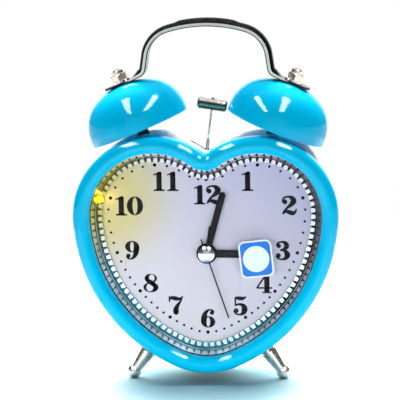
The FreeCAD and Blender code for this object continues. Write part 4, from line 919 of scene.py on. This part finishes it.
class Digit(Enum):
    """Pen strokes of the fat-faced figures, in hundredths of their height.

    A stroke is a row of (across, up, width) that a smooth curve joins. A ball is
    (across, up, radius), and a bowl is (across, up, half width, half height) twice, outside first.
    """

    ZERO = ((), (), (((0, 50, 43, 50), (0, 50, 13, 45)),))
    ONE = (
        (((0, 3, 25), (0, 93, 25)),
         ((-31, 84, 3), (-16, 88, 6), (0, 93, 13), (12.5, 97, 6)),
         ((-30, 2.2, 4.5), (30, 2.2, 4.5)),
         ((-20, 5, 3), (0, 6.5, 9), (20, 5, 3))),
        (), ())
    TWO = (
        (((-37, 68, 4), (-30, 88, 7), (-7, 96, 8), (13, 89, 20),
          (22, 73, 28), (10, 55, 20), (-12, 36, 10), (-28, 18, 7),
          (-34, 3, 6)),
         ((-33, 6, 5), (-20, 18, 12), (0, 14, 20), (18, 9, 20),
          (31, 17, 10), (37, 33, 3))),
        ((-23.5, 69, 13),), ())
    THREE = (
        (((-34, 76, 3), (-24, 91, 6), (-3, 96.5, 7), (14, 90, 18),
          (20, 75, 25), (12, 61, 16), (-4, 54, 7), (-14, 53, 5)),
         ((-14, 53, 5), (3, 51, 9), (17, 42, 20), (24, 27, 28),
          (16, 11, 19), (-2, 3.5, 7), (-24, 8, 6), (-36, 22, 3))),
        ((-21, 75.5, 12), (-23, 24, 13)), ())
    FOUR = (
        (((12, 3, 25), (12, 99, 25)),
         ((8, 97, 6), (-40, 28, 6)),
         ((-42, 26.5, 6), (40, 26.5, 6)),
         ((-12, 2.2, 4.5), (36, 2.2, 4.5))),
        (), ())
    FIVE = (
        (((-26, 95, 6), (-10, 92, 16), (10, 90, 17), (24, 94, 10),
          (33, 100, 3)),
         ((-24.5, 95, 6), (-24.5, 50, 6)),
         ((-26, 50, 4), (-12, 58, 8), (5, 58, 12), (19, 48, 23),
          (23.5, 30, 29), (15, 11, 19), (-2, 3.5, 7), (-22, 8, 6),
          (-34, 22, 3))),
        ((-21, 24, 13),), ())
    SIX = (
        (((-23.5, 26, 26), (-23.5, 45, 27), (-19, 68, 23), (-7, 88, 13),
          (9, 96.5, 6), (24, 93, 5), (31, 82, 3)),),
        ((20, 80, 11.5),),
        (((0, 31, 37, 31), (0, 31, 10, 26)),))
    SEVEN = (
        (((-34, 100, 5), (-34, 68, 5)),
         ((-34, 84, 6), (-20, 91, 17), (0, 87, 20), (18, 85, 14),
          (30, 92, 8), (37, 100, 3)),
         ((34, 97, 4), (25, 74, 7), (10, 53, 15), (0, 30, 25),
          (0, 12, 28))),
        ((0, 13, 14),), ())
    EIGHT = (
        (((-20, 80, 12), (-14, 62, 20), (5, 50, 22), (20, 37, 20),
          (24, 22, 14)),),
        (),
        (((0, 75, 33, 25), (5, 77, 15, 19)),
         ((0, 27, 40, 27), (-6, 26, 18, 20.5))))


@dataclass(frozen=True)
class DialFace:
    """Dial with its printed figures and minute dots."""

    centre_height: float = 56.32
    figure_height: float = 8.3
    pair_spacing: float = 6.0
    film: float = 0.02
    samples: int = 40
    bold: float = 3.0
    ball_pinhole: float = 0.4
    hour_dot: float = 0.78
    minute_dot: float = 0.55
    dot_sides: int = 20
    dot_pinhole: float = 0.02
    dot_inset: float = 12.3
    dot_drift: float = 3.85
    places: tuple[Pair, ...] = (
        (0.2, 81.9), (18.0, 87.8), (36.0, 77.2), (33.0, 57.3), (25.0, 42.7), (14.2, 32.7),
        (0.2, 27.1), (-13.9, 32.8), (-24.8, 42.8), (-32.8, 57.4), (-34.2, 77.0), (-17.5, 87.8))

    def sheet(self) -> Flat:
        """Start an ink film just in front of the dial."""
        return Flat(depth=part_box("dial")[0].y / MM - self.film)

    def stroke(self, points: tuple) -> tuple[np.ndarray, np.ndarray]:
        """Outline one pen stroke: the curve's points shifted by half its width to both sides.

        Args:
            points: Across, up and width in hundredths of the figure's height.

        Returns:
            The stroke's two edges.
        """
        line = smooth_path(np.array(points), self.samples)
        way = np.gradient(line[:, :2], axis=0)
        way /= np.linalg.norm(way, axis=1)[:, None]
        normal = np.stack([-way[:, 1], way[:, 0]], axis=1) * (line[:, 2:3] + self.bold) / 2
        return line[:, :2] + normal, line[:, :2] - normal

    def oval(self, across: float, up: float, half_width: float, half_height: float) -> np.ndarray:
        """Outline an ellipse in hundredths of the figure's height."""
        return np.array([across, up]) + circle(self.samples) * np.array([half_width, half_height])

    def put_digit(self, flat: Flat, digit: int, centre: Pair) -> None:
        """Draw one digit about its middle, a nine as a turned six.

        Args:
            flat: Shapes that the digit joins.
            digit: Value from 0 to 9.
            centre: Middle of the digit in millimetres.
        """
        turned = digit == 9
        scale = self.figure_height / 100 * (-1 if turned else 1)
        strokes, balls, bowls = list(Digit)[6 if turned else digit].value
        bands = [(*self.stroke(points), False) for points in strokes]
        bands += [(self.oval(across, up, radius, radius),
                   self.oval(across, up, self.ball_pinhole, self.ball_pinhole), True)
                  for across, up, radius in balls]
        bands += [(self.oval(*outer), self.oval(*inner), True) for outer, inner in bowls]
        for first, second, closed in bands:
            edges = (np.array(centre) + (edge - np.array([0.0, 50.0])) * scale for edge in (first, second))
            flat.put_band(*edges, closed)

    def print_figures(self) -> None:
        """Print the hour figures 12 and 1 to 11."""
        flat = self.sheet()
        for hour, (x, z) in enumerate(self.places):
            digits = [int(letter) for letter in str(hour or 12)]
            start = x - self.pair_spacing * (len(digits) - 1) / 2
            for place, digit in enumerate(digits):
                self.put_digit(flat, digit, (start + place * self.pair_spacing, z))
        flat.piece("dial_figures", FINISH.ink, "clock", "dial_face")

    def print_dots(self) -> None:
        """Print sixty dots on a line that follows the heart and drifts inwards to the tip."""
        flat = self.sheet()
        for minute in range(60):
            angle = minute * 6.0
            inset = self.dot_inset + self.dot_drift * math.sin(math.radians(angle / 2))
            centre = HEART.reach(self.centre_height, angle, inset)
            dot = circle(self.dot_sides) * (self.hour_dot if minute % 5 == 0 else self.minute_dot)
            flat.put_band(centre + dot, centre + dot * self.dot_pinhole)
        flat.piece("dial_dots", FINISH.ink, "clock", "dial_face")

    def build(self) -> None:
        """Dress the dial and print it."""
        dress(FINISH.dial, "dial")
        dress(FINISH.white, "dial_frame")
        self.print_figures()
        self.print_dots()


@dataclass(frozen=True)
class Window:
    """Lens with its sticker, the bright toothed ring behind it and the dial lamp."""

    label_centre: Pair = (21.8, 55.0)
    label_size: Pair = (14.4, 16.2)
    label_corner: float = 2.8
    label_turn: float = 6.0
    label_border: float = 0.7
    label_film: float = 0.04
    label_pinhole: float = 0.01
    corner_samples: int = 12
    disc_radius: float = 5.7
    disc_samples: int = 48
    glow_power: float = 0.0003
    glow_colour: str = "#FFD800"
    glow_size: float = 1.5
    glow_ahead: float = 2.0

    def label_outline(self, border: float) -> np.ndarray:
        """Trace the label's rounded rectangle, drawn in by a border.

        Each corner is a quarter circle about a point inside the rectangle's corner, and the
        whole line is turned about the label's middle.

        Args:
            border: Distance inside the label's edge in millimetres.

        Returns:
            Closed line as X and Z in millimetres.
        """
        half = np.array(self.label_size) / 2 - self.label_corner
        quarter = np.linspace(0.0, math.pi / 2, self.corner_samples)
        line = np.concatenate([
            np.array(signs) * half + (self.label_corner - border) * around(quarter + number * math.pi / 2)
            for number, signs in enumerate(((1, 1), (-1, 1), (-1, -1), (1, -1)))])
        lean = math.radians(self.label_turn)
        spin = np.array([[math.cos(lean), math.sin(lean)], [-math.sin(lean), math.cos(lean)]])
        return line @ spin + np.array(self.label_centre)

    def stick_label(self) -> None:
        """Stick the blank label on the lens: pale backing, blue field and pale disc."""
        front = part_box("lens")[0].y / MM
        middle = np.array(self.label_centre)
        layers = (
            ("label_backing", self.label_outline(0.0), FINISH.label_white),
            ("label_field", self.label_outline(self.label_border), FINISH.label_blue),
            ("label_disc", middle + self.disc_radius * circle(self.disc_samples), FINISH.label_pale),
        )
        for number, (name, line, finish) in enumerate(layers, start=1):
            flat = Flat(depth=front - number * self.label_film)
            flat.put_band(line, middle + (line - middle) * self.label_pinhole)
            flat.piece(name, finish, "clock", "clear_lens")

    def light_lamp(self) -> None:
        """Set a small warm lamp in front of the resin body, as the lit dial lamp has."""
        low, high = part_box("led_lamp")
        light = bpy.data.lights.new("dial_lamp", "POINT")
        light.energy = self.glow_power
        light.color = linear(self.glow_colour)[:3]
        light.shadow_soft_size = self.glow_size * MM
        lamp = add_object("dial_lamp", light)
        lamp.location = (high.x + self.glow_ahead * MM, (low.y + high.y) / 2, (low.z + high.z) / 2)

    def build(self) -> None:
        """Dress the lens, the ring and the lamp, and stick the label on."""
        dress(FINISH.lens, "lens")
        dress(FINISH.ring_chrome, "inner_ring")
        dress(FINISH.lamp, "led_lamp")
        self.stick_label()
        self.light_lamp()


@dataclass(frozen=True)
class RingGrooves:
    """Painted shade in the grooves of the bright ring: dark marks in the gaps of its teeth and along its
    front edge.

    A mark is a row of inset and half width at its outer and inner end, and a band is its outer
    and inner inset.
    """

    pitch: float = 2.86
    middle: float = 11.0
    wall_front: float = 7.3
    wall_foot: float = 10.1
    flange: float = 0.7
    tooth_height: float = 1.0
    film: float = 0.03
    lamp_room: float = 2.2
    step: float = 0.1
    wall_mark: tuple[Pair, Pair] = ((7.6, 0.25), (8.75, 0.62))
    gap_mark: tuple[Pair, Pair] = ((10.1, 0.72), (11.7, 0.3))
    bands: tuple[Pair, ...] = ((8.65, 9.05), (9.3, 10.05))

    def clear_of_lamp(self, line: np.ndarray) -> np.ndarray:
        """Tell which points of X and Z leave the lamp its room."""
        return np.hypot(*(line - np.array([LAMP[0], LAMP[2]])).T) > self.lamp_room

    def gaps(self) -> tuple[np.ndarray, np.ndarray]:
        """Find the gaps between the teeth, evenly spaced from where the right lobe meets the side.

        Returns:
            Points at the middle of the teeth and the outline's direction there, one row each.
        """
        right = HEART.half(self.middle)
        line = np.concatenate([right * MIRRORED, right[::-1]])
        along = np.concatenate([[0.0], np.cumsum(np.hypot(*np.diff(line, axis=0).T))])
        lead = along[HEART.notch_samples + HEART.lobe_samples - 1]
        total = along[-1]
        count = round(total / self.pitch)
        where = total * (np.arange(count) + 0.5) / count - lead
        ahead, behind, here = (
            np.stack([np.interp((where + step) % total, along, axis) for axis in line.T], axis=1)
            for step in (self.step, -self.step, 0.0))
        way = (ahead - behind) / np.hypot(*(ahead - behind).T)[:, None]
        clear = self.clear_of_lamp(here)
        return here[clear], way[clear]

    def depth(self, inset: float) -> float:
        """Find the depth just in front of the ring's wall, and of its teeth past the wall's foot.

        Args:
            inset: Distance inside the heart's outline in millimetres.

        Returns:
            Depth along Y in millimetres.
        """
        low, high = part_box("inner_ring")
        front, crest = low.y / MM, high.y / MM - self.flange - self.tooth_height
        if inset >= self.wall_foot:
            return crest - self.film
        rise = (crest - front) / (self.wall_foot - self.wall_front)
        return front + (inset - self.wall_front) * rise - self.film * 2

    def put_marks(self, grooves: Gathered, ends: tuple[Pair, Pair]) -> None:
        """Lay one four-cornered mark at every gap.

        Args:
            grooves: Shapes that the marks join.
            ends: Inset and half width at the outer and the inner end.
        """
        here, way = self.gaps()
        outward = np.stack([way[:, 1], -way[:, 0]], axis=1)
        corners = []
        for (inset, half), sides in zip(ends, ((-1, 1), (1, -1))):
            for side in sides:
                flat = here + outward * (self.middle - inset) + way * half * side
                corners.append(upright(flat, self.depth(inset)))
        marks = np.stack(corners, axis=1).reshape(-1, 3)
        grooves.put(marks, np.arange(len(marks)).reshape(-1, 4))

    def put_band(self, grooves: Gathered, insets: Pair) -> None:
        """Lay a band all round the ring, left out at the lamp.

        Args:
            grooves: Shapes that the band joins.
            insets: Inset of the band's outer and inner edge.
        """
        halves = [HEART.half(inset) for inset in insets]
        verts = np.concatenate([
            upright(np.concatenate([right, right[-2:0:-1] * MIRRORED]), self.depth(inset))
            for right, inset in zip(halves, insets)])
        faces = grid_faces(2, len(verts) // 2, closed=True)
        grooves.put(verts, faces[self.clear_of_lamp(verts[faces].mean(axis=1)[:, [0, 2]])])

    def build(self) -> None:
        """Lay the painted shade marks between the teeth and on the wall, with the bands of the wall."""
        grooves = Gathered()
        for ends in (self.wall_mark, self.gap_mark):
            self.put_marks(grooves, ends)
        for insets in self.bands:
            self.put_band(grooves, insets)
        grooves.piece("ring_grooves", FINISH.groove, "clock", "chrome_trim")


@dataclass(frozen=True)
class Drum:
    """Pressed bezel and shell with the moulded back cover."""

    def build(self) -> None:
        """Dress the drum's pieces."""
        dress(FINISH.blue, "front_bezel")
        dress(FINISH.silver, "case_shell")
        dress(FINISH.cover, "back_cover", "battery_door")
        dress(FINISH.zinc, "cover_screws")


@dataclass(frozen=True)
class Hands:
    """Four hands under a bright cap."""

    def build(self) -> None:
        """Dress the hands and the cap."""
        dress(FINISH.hand, "hour_hand", "minute_hand", "second_hand", "alarm_hand")
        dress(FINISH.cap, "centre_cap")


@dataclass(frozen=True)
class BellsAndHandle:
    """Two bells on their posts, and the strap handle that their cap nuts hold."""

    def build(self) -> None:
        """Dress the bells, posts, handle and nuts."""
        dress(FINISH.blue, "bell_left", "bell_right")
        dress(FINISH.dark_tube, "bell_posts")
        dress(FINISH.zinc, "bell_studs", "stud_nuts")
        dress(FINISH.strap, "handle")
        dress(FINISH.chrome, "handle_washers")
        dress(FINISH.nickel, "handle_nuts")


@dataclass(frozen=True)
class Striker:
    """Hammer between the bells, with its rocker, crank and motor inside the drum."""

    def build(self) -> None:
        """Dress the striker and its drive."""
        dress(FINISH.barrel, "striker_head")
        dress(FINISH.spring, "striker_wire")
        dress(FINISH.iron, "striker_frame", "striker_rocker")
        dress(FINISH.zinc, "striker_frame_screws", "striker_pins")
        dress(FINISH.can, "striker_motor")
        dress(FINISH.gear, "motor_pinion", "crank_wheel")


@dataclass(frozen=True)
class Feet:
    """Two plated ball feet in front and a moulded foot behind."""

    def build(self) -> None:
        """Dress the feet."""
        dress(FINISH.satin, "legs", "leg_washers")
        dress(FINISH.white, "rear_foot")


@dataclass(frozen=True)
class Movement:
    """Quartz movement: housings, board, coil and wheel train."""

    def build(self) -> None:
        """Dress the movement's pieces."""
        dress(FINISH.white, "movement_front_housing")
        dress(FINISH.knob, "movement_rear_housing")
        dress(FINISH.zinc, "movement_screws")
        dress(FINISH.board, "circuit_board")
        dress(FINISH.iron, "stator", "rotor")
        dress(FINISH.winding, "coil")
        dress(FINISH.gear, "intermediate_wheel", "second_wheel", "third_wheel", "centre_wheel",
              "cannon_pinion", "minute_wheel", "hour_wheel", "alarm_wheel")


@dataclass(frozen=True)
class Controls:
    """Knobs, slider, light button, switches and the battery's parts at the back."""

    def build(self) -> None:
        """Dress the controls and the battery's parts."""
        dress(FINISH.arbor, "time_set_stem", "alarm_set_stem")
        dress(FINISH.knob, "time_set_knob", "alarm_set_knob", "alarm_slider", "light_button")
        dress(FINISH.white, "alarm_switch", "light_switch")
        dress(FINISH.sleeve, "battery_cell")
        dress(FINISH.spring, "battery_contacts")


# Studio

class Role(Enum):
    """What a studio panel does: light the surfaces, or only show as a window in their gloss."""

    LIGHT = "light"
    WINDOW = "window"


class Reach(Enum):
    """What a panel's list of objects means: light only them, or all others."""

    ONLY = "INCLUDE"
    OTHERS = "EXCLUDE"


@dataclass(frozen=True)
class Panel:
    """A soft rectangular studio light, turned to a point."""

    name: str
    place: Triple
    target: Triple
    size: Pair
    brightness: float
    role: Role = Role.LIGHT
    linked: tuple[str, ...] = ()
    reach: Reach = Reach.OTHERS

    def build(self) -> None:
        """Hang the light. A Lambert panel gives pi times its area times its brightness in watts."""
        light = bpy.data.lights.new(self.name, "AREA")
        light.shape = "RECTANGLE"
        light.size, light.size_y = (side * MM for side in self.size)
        light.energy = math.pi * math.prod(self.size) * MM ** 2 * self.brightness
        panel = add_object(self.name, light)
        panel.location = metres(self.place)
        panel.rotation_mode = "QUATERNION"
        panel.rotation_quaternion = (Vector(self.target) - Vector(self.place)).to_track_quat("-Z", "Y")
        panel.visible_diffuse = self.role is Role.LIGHT
        panel.visible_glossy = self.role is Role.WINDOW
        if self.linked:
            chosen = bpy.data.collections.new(self.name + "_linked")
            for name in self.linked:
                chosen.objects.link(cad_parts.get(name) or bpy.data.objects[name])
            for row in chosen.collection_objects:
                row.light_linking.link_state = self.reach.value
            panel.light_linking.receiver_collection = chosen


@dataclass(frozen=True)
class Studio:
    """White table, pale room and the photograph's camera.

    Each pair of edges gives where a change in the room starts and stops, as a part of the unit
    direction from the clock.
    """

    camera_place: Triple = (64.333, -857.711, 212.691)
    yaw: float = 0.0793
    pitch: float = 0.1559
    roll: float = -0.0128
    focal_pixels: float = 1974.95
    sensor: float = 36.0
    clip: Pair = (10.0, 20000.0)
    floor_radius: float = 1600.0
    floor_rings: Triple = (0.001, 0.3, 1.0)
    floor_sides: int = 96
    sky_axis: Triple = (0.0, 0.56, 0.828)
    sky_edges: Pair = (0.7, 0.97)
    sky_low: float = 0.06
    sky_high: float = 13.5
    sky_tint: str = "#A8D4E0"
    sky_tint_edges: Pair = (0.5, 0.7)
    wall_edges: Pair = (-0.5, 0.3)
    mirror_front: float = 0.55
    mirror_back: float = 1.0
    ceiling_edges: Pair = (0.22, 0.45)
    mirror_above: float = 0.05
    side_edges: Pair = (0.35, 0.55)
    mirror_side: float = 0.08
    front: Triple = (0.0, -1400.0, 200.0)
    front_target: Triple = (0.0, 0.0, 80.0)
    front_size: Pair = (1500.0, 380.0)

    def panels(self) -> tuple[Panel, ...]:
        """List the lights.

        Returns:
            Two windows that only show in the gloss, two fills from the front, and a low light
            that spares the table and the dial.
        """
        front = (self.front, self.front_target, self.front_size)
        return (
            Panel("strip_left", (-395.0, -510.0, 830.0), (-395.0, -510.0, 0.0), (190.0, 1030.0), 45.0,
                  Role.WINDOW),
            Panel("strip_right", (329.0, -415.0, 830.0), (329.0, -415.0, 0.0), (190.0, 950.0), 45.0,
                  Role.WINDOW),
            Panel("front_fill", *front, 2.4),
            Panel("dial_fill", *front, 5.6, linked=("dial",), reach=Reach.ONLY),
            Panel("table_bounce", (0.0, -130.0, 8.0), (0.0, 0.0, 8.0), (180.0, 13.0), 14.0,
                  linked=("table_top", "dial")),
        )

    def set_camera(self) -> None:
        """Place the camera: yaw to the left, pitch down, then a small roll."""
        camera = bpy.data.cameras.new("camera")
        camera.sensor_width = self.sensor
        camera.lens = self.focal_pixels * self.sensor / IMAGE_WIDTH
        camera.clip_start, camera.clip_end = (length * MM for length in self.clip)
        place = add_object("camera", camera)
        turns = ((self.yaw, "Z"), (math.pi / 2 - self.pitch, "X"), (self.roll, "Z"))
        yaw, pitch, roll = (Matrix.Rotation(angle, 4, axis) for angle, axis in turns)
        place.matrix_world = Matrix.Translation(metres(self.camera_place)) @ yaw @ pitch @ roll
        bpy.context.scene.camera = place

    def lay_floor(self) -> None:
        """Lay a round white table top that turns into the white room far from the clock."""
        disc = np.concatenate([circle(self.floor_sides) * ring for ring in self.floor_rings])
        verts = np.column_stack([disc * self.floor_radius, np.zeros(len(disc))]) * MM
        faces = grid_faces(len(self.floor_rings), self.floor_sides, closed=True)[:, ::-1]
        mesh = bpy.data.meshes.new("table_top")
        mesh.from_pydata(verts.tolist(), [], faces.tolist())
        mesh.materials.append(FINISH.table.material())
        add_object("table_top", mesh)

    def paint_room(self) -> None:
        """Light the room: a soft sky behind and above, seen in gloss as a dark ceiling over white walls."""
        world = bpy.data.worlds.new("white_room")
        bpy.context.scene.world = world
        world.use_nodes = True
        shader = Shader(world.node_tree)
        way = shader.add("TexCoord", out="Generated")
        toward = shader.add("VectorMath", {"operation": "DOT_PRODUCT", 0: way, 1: self.sky_axis}, "Value")
        sky = shader.ramp(toward, self.sky_edges, self.sky_low, self.sky_high, smooth=True)
        walls = shader.ramp(
            shader.add("SeparateXYZ", {0: way}, "Y"), self.wall_edges, self.mirror_front, self.mirror_back)
        aside = shader.add("Math", {"operation": "ABSOLUTE", 0: shader.add("SeparateXYZ", {0: way}, "X")})
        sides = shader.ramp(aside, self.side_edges, 1.0, self.mirror_side)
        lit = shader.add("Math", {"operation": "MULTIPLY", 0: walls, 1: sides})
        low = shader.ramp(shader.add("SeparateXYZ", {0: way}, "Z"), self.ceiling_edges, 1.0, 0.0, smooth=True)
        gloss = shader.add("Mix", {0: low, 2: self.mirror_above, 3: lit})
        unseen = shader.add("Mix", {0: shader.add("LightPath", out="Is Glossy Ray"), 2: sky, 3: gloss})
        strength = shader.add("Mix", {0: shader.add("LightPath", out="Is Camera Ray"), 2: unseen, 3: 1.0})
        low_sky = shader.ramp(toward, self.sky_tint_edges, 1.0, 0.0)
        tinted = shader.add("Mix", {0: shader.add("LightPath", out="Is Diffuse Ray"), 2: 0.0, 3: low_sky})
        colour = shader.mix(tinted, WHITE, self.sky_tint)
        glow = shader.add("Background", {"Color": colour, "Strength": strength})
        shader.add("OutputWorld", {"Surface": glow})

    def build(self) -> None:
        """Set up the camera, the table, the room and the lights."""
        self.set_camera()
        self.lay_floor()
        self.paint_room()
        for panel in self.panels():
            panel.build()
        bpy.context.scene.view_settings.view_transform = "Standard"


def main() -> None:
    """Build the studio and every sub-assembly in order."""
    logging.basicConfig(level=logging.INFO, format="%(message)s")
    Studio().build()
    for assembly in (Drum(), DialFace(), Window(), RingGrooves(), Hands(), BellsAndHandle(), Striker(),
                     Feet(), Movement(), Controls()):
        assembly.build()
        LOG.info("finished %s", type(assembly).__name__)


if __name__ == "__main__":
    main()
